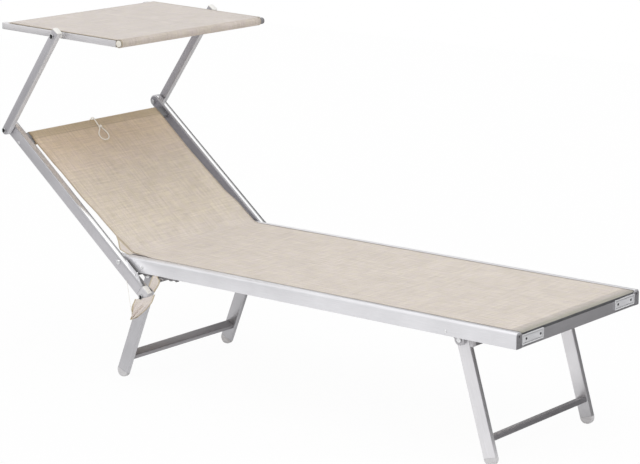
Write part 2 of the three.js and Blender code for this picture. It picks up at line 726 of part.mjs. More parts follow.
function buildArm(side) {
  const sideName = sideNames.get(side);
  const bottom = -armWidth / 2;
  const top = armLength + armAbove - armCapThickness - fit;
  const tube = flatTube(armWidth, armThickness, tubeWall, armCorner, bottom, top);
  const arm = cut(tube, [
    roundEnd(armWidth, armThickness, 0, -1),
    boltHole(-armOffset, 0, 0, armThickness),
    boltHole(-armOffset, 0, armLength, armThickness),
  ]);
  const centreY = side * (armInnerY + armThickness / 2);
  arm.translate(armOffset, centreY, 0);
  add(arms, `canopy_arm_${sideName}`, arm, aluminium);
  const cap = tubeCap(armWidth, armThickness, tubeWall, armCapThickness);
  cap.translate(armOffset, centreY, top + fit);
  add(arms, `arm_top_cap_${sideName}`, cap, whitePlastic);
  bolt(arms, `arm_bolt_${sideName}`, side, 0, 0, backInnerY, armOuterY);
}

// Canopy, drawn with the upper pivot at the origin and x along its side bars
const canopy = new THREE.Group();
canopy.position.set(
  armPivot.x + armLength * Math.sin(armLean),
  0,
  armPivot.z + armLength * Math.cos(armLean),
);
canopy.rotation.y = canopyTilt;
lounger.add(canopy);

const canopyFrontX = canopyBarHalf - canopyBarSetback;
const canopyRearX = -canopyBarHalf - canopyBarSetback;
const frontTubeX = canopyFrontX + fit + fabricThickness + fit + canopyTubeDiameter / 2;
const rearBarX = canopyRearX + rearBarInset;
const rearBarZ = (canopyBarSize - rearBarDiameter) / 2 - fit;

function buildCanopyBar(side) {
  const sideName = sideNames.get(side);
  const ends = [canopyRearX, canopyFrontX];
  const tube = flatTube(canopyBarSize, canopyBarSize, tubeWall, canopyBarCorner, ...ends);
  const bar = cut(tube, [boltHole(0, 0, 0, canopyBarSize)]);
  bar.rotateY(Math.PI / 2).translate(0, side * (canopyInnerY + canopyBarSize / 2), 0);
  add(canopy, `canopy_side_bar_${sideName}`, bar, aluminium);
  const collar = [canopyOuterY + fit, armInnerY - fit];
  bolt(canopy, `canopy_bolt_${sideName}`, side, 0, 0, canopyInnerY, armOuterY, { collar });
}

function buildCanopyTubes() {
  const front = roundTube(canopyTubeDiameter / 2, roundTubeWall, 2 * canopyOuterY);
  front.translate(frontTubeX, 0, canopyTubeRise);
  add(canopy, 'canopy_front_tube', front, aluminium);
  const rear = roundTube(rearBarDiameter / 2, roundTubeWall, 2 * (canopyInnerY - fit));
  rear.translate(rearBarX, 0, rearBarZ);
  add(canopy, 'canopy_rear_tube', rear, aluminium);
}

function buildCanopyFabric() {
  const rearX = canopyRearX + fabricEndGap;
  const topZ = canopyBarSize / 2 + fabricLift + fabricThickness;
  const topPoint = (across, along) => {
    const place = 2 * across - 1;
    const sag = fabricSag * Math.sin(Math.PI * along) * (1 - place * place);
    const x = THREE.MathUtils.lerp(rearX, frontTubeX, along);
    return new THREE.Vector3(x, -place * canopyOuterY, topZ - sag);
  };
  const top = sheet(...fabricGrid, topPoint, new THREE.Vector3(0, 0, -fabricThickness));
  const sleeveRadius = canopyTubeDiameter / 2 + fit + fabricThickness;
  const sleeve = new THREE.CylinderGeometry(sleeveRadius, sleeveRadius, 2 * canopyOuterY, tubeSides);
  sleeve.translate(frontTubeX, 0, canopyTubeRise);
  const hemLength = 2 * (canopyInnerY - fit);
  const hemRadius = rearBarDiameter / 2 + fit + fabricThickness;
  const hem = roundTube(hemRadius, fabricThickness, hemLength);
  hem.translate(rearBarX, 0, rearBarZ);
  const spaceRadius = sleeveRadius - fabricThickness;
  const spaceLength = 2 * canopyOuterY + 2 * overrun;
  const tubeSpace = new THREE.CylinderGeometry(spaceRadius, spaceRadius, spaceLength, tubeSides);
  tubeSpace.translate(frontTubeX, 0, canopyTubeRise);
  const fabric = cut(join([sleeve, top, hem]), [tubeSpace]);
  add(canopy, 'canopy_fabric', fabric, canopyCloth);
}

buildSeatEnds();
buildSeatSling();
for (const side of [rightSide, leftSide]) {
  buildSeatRail(side);
  buildCornerPlate(side);
  buildBackRail(side);
  buildClothTie(side);
  buildLatch(side);
  buildArm(side);
  buildCanopyBar(side);
}
buildLegSet('front', -frontPivotInset, frontLean, -1);
buildLegSet('rear', rearPivotInset - seatLength, rearLean, 1);
buildHeadBar();
buildBackSling();
buildPullCord();
buildCanopyTubes();
buildCanopyFabric();

// The origin is on the floor, under the middle of the whole lounger
const model = new THREE.Group();
model.add(lounger);
model.updateMatrixWorld(true);
const bounds = new THREE.Box3().setFromObject(lounger, true);
lounger.position.set(-(bounds.min.x + bounds.max.x) / 2, 0, 0);

export default model;
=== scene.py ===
import math

import bmesh
import bpy
from mathutils import Matrix, Vector, noise


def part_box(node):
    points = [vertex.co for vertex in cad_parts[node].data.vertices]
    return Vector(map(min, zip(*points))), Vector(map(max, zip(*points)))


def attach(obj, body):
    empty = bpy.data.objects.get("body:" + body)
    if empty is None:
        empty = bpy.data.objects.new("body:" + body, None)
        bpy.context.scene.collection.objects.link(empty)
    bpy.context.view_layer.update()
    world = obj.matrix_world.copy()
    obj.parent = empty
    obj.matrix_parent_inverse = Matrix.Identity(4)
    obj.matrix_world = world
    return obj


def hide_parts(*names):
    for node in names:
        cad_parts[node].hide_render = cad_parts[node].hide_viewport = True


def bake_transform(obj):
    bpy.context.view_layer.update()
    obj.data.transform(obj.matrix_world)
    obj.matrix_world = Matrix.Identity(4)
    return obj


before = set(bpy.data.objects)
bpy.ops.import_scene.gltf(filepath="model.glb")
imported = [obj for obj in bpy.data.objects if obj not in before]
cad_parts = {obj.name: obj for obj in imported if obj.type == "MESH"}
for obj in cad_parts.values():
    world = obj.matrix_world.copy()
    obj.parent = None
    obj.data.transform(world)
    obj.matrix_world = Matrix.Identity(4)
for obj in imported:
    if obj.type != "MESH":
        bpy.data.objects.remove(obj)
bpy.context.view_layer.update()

# Places that several pieces share, in metres. Right is -Y, the side near the camera.
right, left = -1, 1
sideNames = {right: "right", left: "left"}
fit = 0.0003  # between pieces that seat on each other
near = 1e-6  # places closer than this count as one
overrun = 0.01  # how far a cutting shape passes the piece that it cuts
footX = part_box("foot_rail")[1].x
seatTop = 0.394
railBottom = 0.350
railOuterY, railInnerY = 0.300, 0.275
backInnerY, backOuterY = 0.304, 0.329
armInnerY, armOuterY = 0.3315, 0.3515
canopyOuterY, canopyInnerY = 0.317, 0.297
legOuterY, legInnerY = 0.244, 0.228
bracketOuterY = 0.2563
latchInnerY = 0.3007
frontLegLean, rearLegLean = math.radians(-16.7), math.radians(21.6)
hinge = Vector((footX - 1.377, 0, 0.380))
recline = math.radians(39.1)
backTurn = recline - math.pi / 2
backMatrix = Matrix.Translation(hinge) @ Matrix.Rotation(backTurn, 4, "Y")
armPivot = backMatrix @ Vector((-0.0108, 0, 0.557))
armLean = math.radians(35)
armMatrix = Matrix.Translation(armPivot) @ Matrix.Rotation(armLean, 4, "Y")
armLength = 0.3678
canopyPivot = armMatrix @ Vector((0, 0, armLength))
canopyTilt = math.radians(1.6)
canopyMatrix = Matrix.Translation(canopyPivot) @ Matrix.Rotation(canopyTilt, 4, "Y")
zToX = Matrix.Rotation(math.pi / 2, 4, "Y")
zAcross = Matrix.Rotation(math.pi / 2, 4, "X")


def zOutward(side):
    # turns a piece made along z to point away from the middle, to its own side
    return Matrix.Rotation(-side * math.pi / 2, 4, "X")


def shifted(*place):
    return Matrix.Translation(place)


def backPoint(across, up, out):
    # a point on the backrest: across it, up from the hinge, and out from the hinge line
    return backMatrix @ Vector((out, across, up))


# Camera at the photograph's angle
cameraPlace = {"location": (footX + 3.2376, -5.131, 1.9877), "pitch": 77.11, "yaw": 38.8, "lens": 131.65}
bpy.ops.object.camera_add(
    location=cameraPlace["location"],
    rotation=(math.radians(cameraPlace["pitch"]), 0, math.radians(cameraPlace["yaw"])),
)
camera = bpy.context.object
camera.data.lens = cameraPlace["lens"]
camera.data.sensor_width = 36
camera.data.sensor_fit = "HORIZONTAL"
camera.data.clip_end = 100
bpy.context.scene.camera = camera
print("camera placed")


# Materials
def startMaterial(name):
    material = bpy.data.materials.new(name)
    material.use_nodes = True
    tree = material.node_tree
    return material, tree, tree.nodes["Principled BSDF"]


def node(tree, kind, settings=None, **inputs):
    made = tree.nodes.new(kind)
    for key, value in (settings or {}).items():
        setattr(made, key, value)
    for key, value in inputs.items():
        socket = made.inputs[int(key[1:]) if key[1:].isdigit() and key[0] == "i" else key]
        if isinstance(value, bpy.types.NodeSocket):
            tree.links.new(value, socket)
        else:
            socket.default_value = value
    return made


def ramp(tree, factor, stops):
    made = node(tree, "ShaderNodeValToRGB", Fac=factor)
    band = made.color_ramp
    while len(band.elements) < len(stops):
        band.elements.new(0.5)
    for element, (place, colour) in zip(band.elements, stops):
        element.position = place
        element.color = (*colour, 1)
    return made.outputs["Color"]


def grey(value):
    return (value, value, value)


def remap(tree, value, low, high, toLow, toHigh):
    made = node(tree, "ShaderNodeMapRange", None, Value=value)
    made.inputs["From Min"].default_value = low
    made.inputs["From Max"].default_value = high
    made.inputs["To Min"].default_value = toLow
    made.inputs["To Max"].default_value = toHigh
    return made.outputs["Result"]


def mixColour(tree, blend, factor, first, second):
    made = node(tree, "ShaderNodeMix", {"data_type": "RGBA", "blend_type": blend})
    for socket, value in ((made.inputs[0], factor), (made.inputs[6], first), (made.inputs[7], second)):
        if isinstance(value, bpy.types.NodeSocket):
            tree.links.new(value, socket)
        elif isinstance(value, (int, float)):
            socket.default_value = value
        else:
            socket.default_value = (*value, 1)
    return made.outputs[2]


def maths(tree, operation, first, second=0.5):
    made = node(tree, "ShaderNodeMath", {"operation": operation}, i0=first)
    if isinstance(second, bpy.types.NodeSocket):
        tree.links.new(second, made.inputs[1])
    else:
        made.inputs[1].default_value = second
    return made.outputs[0]


def bump(tree, shader, height, strength, distance):
    made = node(tree, "ShaderNodeBump", None, Height=height, Strength=strength, Distance=distance)
    tree.links.new(made.outputs["Normal"], shader.inputs["Normal"])


# Satin anodised tube: fine streaks along the tube's own length, which is turned from upright
streakSize = (0.0012, 0.0012, 0.05)


def anodised(name, turn, colour, roughness=0.34, metallic=0.5):
    material, tree, shader = startMaterial(name)
    place = node(tree, "ShaderNodeTexCoord").outputs["Object"]
    streakPlace = node(
        tree, "ShaderNodeMapping", {"vector_type": "TEXTURE"}, Vector=place, Rotation=turn, Scale=streakSize,
    )
    streaks = node(
        tree, "ShaderNodeTexNoise", None, Vector=streakPlace.outputs[0], Scale=1, Detail=5, Roughness=0.62,
    )
    smudges = node(tree, "ShaderNodeTexNoise", None, Vector=place, Scale=11, Detail=3, Roughness=0.55)
    dark = [channel * 0.91 for channel in colour]
    light = [min(1, channel * 1.06) for channel in colour]
    streaked = ramp(tree, streaks.outputs["Fac"], [(0.28, dark), (0.72, light)])
    smudged = ramp(tree, smudges.outputs["Fac"], [(0.3, grey(0.9)), (0.7, grey(1.0))])
    body = mixColour(tree, "MULTIPLY", 0.8, streaked, smudged)
    worn = remap(tree, node(tree, "ShaderNodeNewGeometry").outputs["Pointiness"], 0.54, 0.62, 0, 0.3)
    bright = [min(1, channel * 1.25) for channel in colour]
    tree.links.new(mixColour(tree, "MIX", worn, body, bright), shader.inputs["Base Color"])
    rough = remap(tree, streaks.outputs["Fac"], 0.2, 0.8, roughness - 0.07, roughness + 0.09)
    tree.links.new(rough, shader.inputs["Roughness"])
    shader.inputs["Metallic"].default_value = metallic
    bump(tree, shader, streaks.outputs["Fac"], 0.03, 0.0002)
    return material


# Moulded plastic: fine spark-eroded grain and a slight cloud in the colour
def moulded(name, colour, roughness=0.5, cloud=0.06, coat=0.0):
    material, tree, shader = startMaterial(name)
    place = node(tree, "ShaderNodeTexCoord").outputs["Object"]
    grain = node(tree, "ShaderNodeTexNoise", None, Vector=place, Scale=1400, Detail=2)
    clouds = node(tree, "ShaderNodeTexNoise", None, Vector=place, Scale=45, Detail=4)
    dark = [channel * (1 - cloud) for channel in colour]
    light = [min(1, channel * (1 + cloud)) for channel in colour]
    clouded = ramp(tree, clouds.outputs["Fac"], [(0.3, dark), (0.7, light)])
    tree.links.new(clouded, shader.inputs["Base Color"])
    rough = remap(tree, clouds.outputs["Fac"], 0.2, 0.8, roughness - 0.05, roughness + 0.08)
    tree.links.new(rough, shader.inputs["Roughness"])
    shader.inputs["Coat Weight"].default_value = coat
    bump(tree, shader, grain.outputs["Fac"], 0.15, 0.0002)
    return material


# Zinc-plated steel of the fasteners
def plated(name, colour, roughness=0.28):
    material, tree, shader = startMaterial(name)
    place = node(tree, "ShaderNodeTexCoord").outputs["Object"]
    spangle = node(tree, "ShaderNodeTexVoronoi", None, Vector=place, Scale=600)
    film = node(tree, "ShaderNodeTexNoise", None, Vector=place, Scale=220, Detail=4)
    dark = [channel * 0.8 for channel in colour]
    tree.links.new(ramp(tree, film.outputs["Fac"], [(0.3, dark), (0.7, colour)]), shader.inputs["Base Color"])
    rough = remap(tree, spangle.outputs["Distance"], 0, 0.7, roughness - 0.06, roughness + 0.12)
    tree.links.new(rough, shader.inputs["Roughness"])
    shader.inputs["Metallic"].default_value = 1
    bump(tree, shader, film.outputs["Fac"], 0.1, 0.0002)
    return material


# Coated mesh cloth on the piece's own UV map, whose units are metres across and along the cloth
weaveFacts = {
    "thread": 0.0017,  # from one thread to the next
    "gap": 0.0003,
    # across, along, detail and share of the yarns' thick places
    "slubs": ((330, 16, 3, 0.55), (150, 8, 2, 0.45)),
    "stitchInset": 0.011,  # of the stitches from the side edges
    "stitchTurns": 1600,
    # the darker edge band is painted shade on the sling, where its edges run into the rails
    "edgeBand": (0.004, 0.006),  # where the darker edge ends
}


# tones are the colours along the cloth, seams the places of its rows of stitches
def meshCloth(name, light, dark, tones, seams=(), edgeTint=(0.8, 0.74, 0.6)):
    material, tree, shader = startMaterial(name)
    uv = node(tree, "ShaderNodeUVMap", {"uv_map": "cloth"}).outputs["UV"]

    def yarns(across, length, detail):
        # yarns that vary in thickness both ways of the weave, from 0 to 1 and about a half
        made = []
        for scale in ((across, length, 1), (length, across, 1)):
            place = node(tree, "ShaderNodeMapping", None, Vector=uv, Scale=scale).outputs[0]
            made.append(
                node(tree, "ShaderNodeTexNoise", None, Vector=place, Scale=1, Detail=detail, Roughness=0.6),
            )
        both = maths(tree, "ADD", made[0].outputs["Fac"], made[1].outputs["Fac"])
        return maths(tree, "MULTIPLY", both, 0.5)

    fine, coarse = (maths(tree, "MULTIPLY", yarns(*slub[:3]), slub[3]) for slub in weaveFacts["slubs"])
    threads = maths(tree, "ADD", fine, coarse)
    middle = [(a + b) / 2 for a, b in zip(light, dark)]
    melange = ramp(tree, threads, [(0.38, dark), (0.5, middle), (0.62, light)])
    # over and under of the threads
    weave = node(tree, "ShaderNodeTexBrick", None, Vector=uv, Scale=1)
    weave.inputs["Color1"].default_value = (1, 1, 1, 1)
    weave.inputs["Color2"].default_value = (0.9, 0.9, 0.9, 1)
    weave.inputs["Mortar"].default_value = (0.62, 0.6, 0.56, 1)
    weave.inputs["Brick Width"].default_value = 2 * weaveFacts["thread"]
    weave.inputs["Row Height"].default_value = weaveFacts["thread"]
    weave.inputs["Mortar Size"].default_value = weaveFacts["gap"]
    weave.inputs["Mortar Smooth"].default_value = 0.6
    woven = mixColour(tree, "MULTIPLY", 0.55, melange, weave.outputs["Color"])
    hues = node(tree, "ShaderNodeTexNoise", None, Vector=uv, Scale=42, Detail=3, Roughness=0.6)
    hue = ramp(tree, hues.outputs["Fac"], [(0.36, (0.985, 0.97, 1.0)), (0.64, (1.0, 0.995, 0.955))])
    woven = mixColour(tree, "MULTIPLY", 1, woven, hue)
    along = node(tree, "ShaderNodeSeparateXYZ", None, Vector=uv).outputs["Y"]
    lowest, highest = tones[0][0], tones[-1][0]
    place = remap(tree, along, lowest, highest, 0, 1)

    def alongCloth(stops):
        return ramp(tree, place, [((at - lowest) / (highest - lowest), colour) for at, colour in stops])

    toned = mixColour(tree, "MULTIPLY", 1, woven, alongCloth(tones))
    blotch = node(tree, "ShaderNodeTexNoise", None, Vector=uv, Scale=9, Detail=3, Roughness=0.5)
    soft = ramp(tree, blotch.outputs["Fac"], [(0.3, grey(0.94)), (0.7, grey(1.0))])
    final = mixColour(tree, "MULTIPLY", 1, toned, soft)
    height = maths(tree, "ADD", maths(tree, "MULTIPLY", threads, 0.8), weave.outputs["Fac"])
    for seam in seams:
        # a row of stitches across the cloth, a little sunk and darker than it
        gap = maths(tree, "ABSOLUTE", maths(tree, "SUBTRACT", along, seam))
        line = remap(tree, gap, 0.0006, 0.0014, 1, 0)
        final = mixColour(tree, "MULTIPLY", maths(tree, "MULTIPLY", line, 0.45), final, (0.45, 0.4, 0.32))
        height = maths(tree, "SUBTRACT", height, line)
    edge = node(tree, "ShaderNodeAttribute", {"attribute_name": "edgeGap"}).outputs["Fac"]
    offLine = maths(tree, "ABSOLUTE", maths(tree, "SUBTRACT", edge, weaveFacts["stitchInset"]))
    stitch = remap(tree, offLine, 0.0004, 0.0012, 1, 0)
    turns = maths(tree, "MULTIPLY", along, weaveFacts["stitchTurns"])
    stitch = maths(tree, "MULTIPLY", stitch, remap(tree, maths(tree, "SINE", turns), -0.3, 0.1, 0, 1))
    final = mixColour(tree, "MULTIPLY", maths(tree, "MULTIPLY", stitch, 0.35), final, (0.55, 0.5, 0.42))
    # a darker band along the side edges; on the sling it is painted shade where the cloth meets the rails
    edgeBand = remap(tree, edge, *weaveFacts["edgeBand"], 1, 0)
    if isinstance(edgeTint, list):
        edgeTint = alongCloth(edgeTint)
    final = mixColour(tree, "MULTIPLY", edgeBand, final, edgeTint)
    height = maths(tree, "SUBTRACT", height, stitch)
    tree.links.new(final, shader.inputs["Base Color"])
    rough = remap(tree, threads, 0.3, 0.7, 0.62, 0.8)
    tree.links.new(rough, shader.inputs["Roughness"])
    shader.inputs["Sheen Weight"].default_value = 0.12
    shader.inputs["Sheen Roughness"].default_value = 0.5
    shader.inputs["Specular IOR Level"].default_value = 0.3
    bump(tree, shader, height, 0.35, 0.0004)
    return material


def twistedCord(name, colour):
    material, tree, shader = startMaterial(name)
    place = node(tree, "ShaderNodeTexCoord").outputs["Object"]
    turned = node(tree, "ShaderNodeMapping", None, Vector=place, Rotation=(0.4, 0.9, 0.6))
    strands = node(
        tree, "ShaderNodeTexWave", {"bands_direction": "DIAGONAL"}, Vector=turned.outputs[0], Scale=260,
        Distortion=1.5,
    )
    dark = [channel * 0.92 for channel in colour]
    twisted = ramp(tree, strands.outputs["Fac"], [(0.1, dark), (0.6, colour)])
    tree.links.new(twisted, shader.inputs["Base Color"])
    fuzz = node(tree, "ShaderNodeTexNoise", None, Vector=place, Scale=2500, Detail=2)
    tree.links.new(remap(tree, fuzz.outputs["Fac"], 0.2, 0.8, 0.72, 0.95), shader.inputs["Roughness"])
    shader.inputs["Sheen Weight"].default_value = 0.3
    bump(tree, shader, strands.outputs["Fac"], 0.5, 0.0004)
    return material


alongX, alongY = (0, math.pi / 2, 0), (math.pi / 2, 0, 0)
alongBack, alongArm, alongCanopy = (0, backTurn, 0), (0, armLean, 0), (0, math.pi / 2 + canopyTilt, 0)
railMetal = anodised("seat_rail_anodised", alongX, (0.76, 0.755, 0.78), 0.36)
crossMetal = anodised("cross_bar_anodised", alongY, (0.50, 0.49, 0.51), 0.38)
# The leg sets' bars: a much darker copy of the aluminium, painted shade
barShadeMetal = anodised("lower_bar_anodised_painted_shade", alongY, (0.30, 0.29, 0.305), 0.4)
backMetal = anodised("backrest_rail_anodised", alongBack, (0.57, 0.56, 0.585), 0.34)
# The backrest rails' front face, painted near-white as a highlight
backFaceHighlight = anodised("backrest_rail_face_painted_highlight", alongBack, (0.97, 0.97, 0.98), 0.14, 0.9)
# Their inner face, painted darker as shade
backInnerShade = anodised("backrest_rail_inside_painted_shade", alongBack, (0.27, 0.262, 0.29), 0.45, 0.3)
armMetal = anodised("canopy_arm_anodised", alongArm, (0.47, 0.46, 0.485), 0.34)
# Forward corners of the backrest rails and canopy arms, painted darker and duller as shade
cornerShadeMetal = anodised("rail_corner_painted_shade", alongBack, (0.46, 0.455, 0.475), 0.34, 0.3)
# The canopy arms' front face, painted lighter as a highlight
armFaceHighlight = anodised("canopy_arm_face_painted_highlight", alongArm, (0.74, 0.735, 0.755), 0.42, 0.1)
# Their inner face, painted darker as shade
armInnerShade = anodised("canopy_arm_inside_painted_shade", alongArm, (0.42, 0.41, 0.44), 0.4, 0.4)
canopyMetal = anodised("canopy_bar_anodised", alongCanopy, (0.70, 0.685, 0.70), 0.36)
frontLegMetal = anodised("front_leg_anodised", (0, frontLegLean, 0), (0.76, 0.75, 0.77), 0.36, 0.75)
# The rear legs are a darker copy of the front legs' aluminium: painted shade
rearLegShadeMetal = anodised("rear_leg_anodised_painted_shade", (0, rearLegLean, 0), (0.50, 0.495, 0.515), 0.36, 0.7)
headBarMetal = anodised("head_bar_steel", alongY, (0.34, 0.34, 0.35), 0.45)
plateMetal = anodised("corner_plate_bright", alongY, (0.80, 0.80, 0.83), 0.4, 0.25)
footPlastic = moulded("foot_light_grey", (0.66, 0.65, 0.66), 0.42, 0.05)
capPlastic = moulded("cap_clear_grey", (0.58, 0.57, 0.59), 0.35, 0.08, 0.3)
plugPlastic = moulded("plug_mid_grey", (0.20, 0.195, 0.205), 0.5, 0.1)
plugCream = moulded("tube_plug_cream", (0.84, 0.80, 0.72), 0.45, 0.05)
whitePlastic = moulded("arm_cap_white", (0.88, 0.87, 0.84), 0.4, 0.03)
rackPlastic = moulded("rack_dark_grey", (0.16, 0.155, 0.16), 0.5, 0.15)
# Near-black for the inside of the bolts' sockets: painted shade in the recess
socketShade = moulded("socket_painted_shade", (0.03, 0.03, 0.032), 0.8, 0.2)
# Near-black for the strips on the foot rail: painted shade in the sling's slot
channelShade = moulded("foot_channel_painted_shade", (0.10, 0.10, 0.105), 0.6, 0.2)
boltSteel = plated("bolt_zinc_steel", (0.62, 0.62, 0.63), 0.26)
boltBright = plated("bolt_bright_zinc", (0.82, 0.82, 0.83), 0.3)
screwSteel = plated("screw_dark_steel", (0.2, 0.2, 0.21), 0.34)
cordWhite = twistedCord("pull_cord_off_white", (1.0, 0.96, 0.88))

# The sling's tones by metres from the foot end: curl, seat, bend, back and sleeve. The dark greenish curl is
# painted shade of the turned-down foot end, and the back growing darker and warmer towards the head is the
# canopy's painted shadow.
seatTone, bareTone, hemTone = (0.965, 0.965, 0.965), (1, 1, 1), (0.8, 0.71, 0.545)
slingTones = [
    (0.0, (0.52, 0.56, 0.54)), (0.013, (0.58, 0.61, 0.59)),
    (0.018, (0.71, 0.72, 0.735)), (0.033, (0.78, 0.78, 0.8)),
    (0.04, seatTone), (1.33, seatTone), (1.38, bareTone), (1.47, (1, 0.987, 0.934)), (1.67, (1, 0.965, 0.89)),
    (1.72, (1, 0.94, 0.862)), (1.77, (0.99, 0.915, 0.81)), (1.82, (0.98, 0.878, 0.735)),
    (1.86, (0.98, 0.878, 0.735)), (1.864, hemTone), (2.1, hemTone),
]
# Colours of the sling's edge band: dark along the seat rails and milder up the backrest, painted shade where
# the edges meet the rails
slingEdgeShade = [
    (0.0, (0.42, 0.40, 0.39)), (1.32, (0.34, 0.32, 0.31)),
    (1.365, (0.78, 0.74, 0.68)), (2.1, (0.78, 0.74, 0.68)),
]
slingCloth = meshCloth(
    "sling_mesh_sand", (0.955, 0.88, 0.805), (0.685, 0.615, 0.545), slingTones, seams=(1.862,),
    edgeTint=slingEdgeShade,
)
sleeveTone = (0.92, 0.895, 0.86)
canopyCloth = meshCloth(
    "canopy_mesh_sand", (0.87, 0.81, 0.765), (0.64, 0.585, 0.545),
    [(0.0, bareTone), (0.44, bareTone), (0.452, sleeveTone), (0.6, sleeveTone)], edgeTint=(0.84, 0.81, 0.71),
)
tieCloth = meshCloth(
    "cloth_tie_cream", (0.94, 0.87, 0.82), (0.76, 0.69, 0.64), [(0.0, bareTone), (0.2, (0.97, 0.96, 0.94))],
    edgeTint=(0.8, 0.76, 0.6),
)
print("materials made")


# Modelling helpers
def only(obj):
    bpy.ops.object.select_all(action="DESELECT")
    obj.select_set(True)
    bpy.context.view_layer.objects.active = obj


def block(name, low, high):
    bpy.ops.object.select_all(action="DESELECT")
    bpy.ops.mesh.primitive_cube_add(size=1, location=[(a + b) / 2 for a, b in zip(low, high)])
    obj = bpy.context.object
    obj.name = obj.data.name = name
    obj.scale = [b - a for a, b in zip(low, high)]
    bpy.ops.object.transform_apply(location=True, rotation=True, scale=True)
    return obj


def rod(name, radius, fromZ, toZ, sides=32, centre=(0, 0)):
    bpy.ops.object.select_all(action="DESELECT")
    bpy.ops.mesh.primitive_cylinder_add(
        vertices=sides, radius=radius, depth=toZ - fromZ, location=(*centre, (fromZ + toZ) / 2)
    )
    obj = bpy.context.object
    obj.name = obj.data.name = name
    bpy.ops.object.transform_apply(location=True, rotation=True, scale=True)
    return obj


def pickEdges(obj, test):
    only(obj)
    bpy.ops.object.mode_set(mode="EDIT")
    bpy.ops.mesh.select_mode(type="EDGE")
    bpy.ops.mesh.select_all(action="DESELECT")
    bpy.ops.object.mode_set(mode="OBJECT")
    points = obj.data.vertices
    for edge in obj.data.edges:
        a, b = (points[i].co for i in edge.vertices)
        edge.select = test(a, b)
    bpy.ops.object.mode_set(mode="EDIT")


def bevelEdges(obj, test, offset, segments):
    pickEdges(obj, test)
    bpy.ops.mesh.bevel(offset_type="OFFSET", offset=offset, segments=segments, profile=0.5, affect="EDGES")
    bpy.ops.object.mode_set(mode="OBJECT")


def pickFaces(obj, test):
    only(obj)
    bpy.ops.object.mode_set(mode="EDIT")
    bpy.ops.mesh.select_mode(type="FACE")
    bpy.ops.mesh.select_all(action="DESELECT")
    bpy.ops.object.mode_set(mode="OBJECT")
    for face in obj.data.polygons:
        face.select = test(face)
    bpy.ops.object.mode_set(mode="EDIT")


def cutAway(obj, cutter):
    only(obj)
    modifier = obj.modifiers.new("cut", "BOOLEAN")
    modifier.object, modifier.operation, modifier.solver = cutter, "DIFFERENCE", "EXACT"
    bpy.ops.object.modifier_apply(modifier=modifier.name)
    bpy.data.objects.remove(cutter)


# Gives each face of a piece one of several materials, by a rule that returns its number
def byFace(obj, materials, choose):
    for material in materials:
        obj.data.materials.append(material)
    for face in obj.data.polygons:
        face.material_index = choose(face)


def settle(obj, matrix):
    obj.matrix_world = matrix
    only(obj)
    bpy.ops.object.transform_apply(location=True, rotation=True, scale=True)
    return obj


def joined(pieces):
    bpy.ops.object.select_all(action="DESELECT")
    for piece in pieces:
        piece.select_set(True)
    bpy.context.view_layer.objects.active = pieces[0]
    bpy.ops.object.join()
    return pieces[0]


def dress(obj, body, material, stands=(), rim=0.0004, rimAngle=50, smooth=38):
    only(obj)
    if rim:
        modifier = obj.modifiers.new("rim", "BEVEL")
        modifier.width, modifier.segments = rim, 2
        modifier.limit_method, modifier.angle_limit = "ANGLE", math.radians(rimAngle)
        bpy.ops.object.modifier_apply(modifier=modifier.name)
    bpy.ops.object.shade_smooth_by_angle(angle=math.radians(smooth))
    if not obj.data.materials:
        obj.data.materials.append(material)
    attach(obj, body)
    if stands:
        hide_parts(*stands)
    return obj


# Flat tube along local z, its width along x; open ends show its wall, round ends are closed
tubeWall, leastCorner = 0.002, 0.0005
roundShare = 0.985  # of the half width, so that a round end keeps a sliver of flat


def flatTube(
    name, width, thickness, fromZ, toZ, corner, wall=tubeWall, roundTop=False, roundBottom=False,
    centre=(0, 0),
):
    halfWidth, halfThickness = width / 2, thickness / 2
    obj = block(name, (-halfWidth, -halfThickness, fromZ), (halfWidth, halfThickness, toZ))
    roundZ = [z for z, rounded in ((toZ, roundTop), (fromZ, roundBottom)) if rounded]
    openZ = [z for z, rounded in ((toZ, roundTop), (fromZ, roundBottom)) if not rounded]

    def isEnd(a, b, places):
        return any(abs(a.z - z) < near and abs(b.z - z) < near for z in places)

    if roundZ:
        bevelEdges(
            obj, lambda a, b: isEnd(a, b, roundZ) and abs(a.x - b.x) < near, halfWidth * roundShare, 14,
        )
    bevelEdges(
        obj,
        lambda a, b: (
            abs(a.y - b.y) < near and abs(abs(a.y) - halfThickness) < near and not isEnd(a, b, openZ)
        ),
        corner,
        4,
    )
    if wall and openZ:
        boreLow = fromZ - overrun if fromZ in openZ else fromZ + halfWidth
        boreHigh = toZ + overrun if toZ in openZ else toZ - halfWidth
        boreX, boreY = halfWidth - wall, halfThickness - wall
        bore = block("bore", (-boreX, -boreY, boreLow), (boreX, boreY, boreHigh))
        bevelEdges(bore, lambda a, b: abs(a.z - b.z) > near, max(leastCorner, corner - wall), 2)
        cutAway(obj, bore)
    obj.data.transform(Matrix.Translation((*centre, 0)))
    return obj


# A tidied copy of a CAD node's mesh: doubles merged, flat faces joined, ready for a fine rim
def tidiedCopy(nodeName, name):
    obj = bpy.data.objects.new(name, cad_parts[nodeName].data.copy())
    bpy.context.collection.objects.link(obj)
    obj.data.materials.clear()
    only(obj)
    bpy.ops.mesh.customdata_custom_splitnormals_clear()
    bpy.ops.object.mode_set(mode="EDIT")
    bpy.ops.mesh.select_all(action="SELECT")
    bpy.ops.mesh.remove_doubles(threshold=1e-5)
    bpy.ops.mesh.dissolve_limited(angle_limit=math.radians(1))
    bpy.ops.object.mode_set(mode="OBJECT")
    return obj


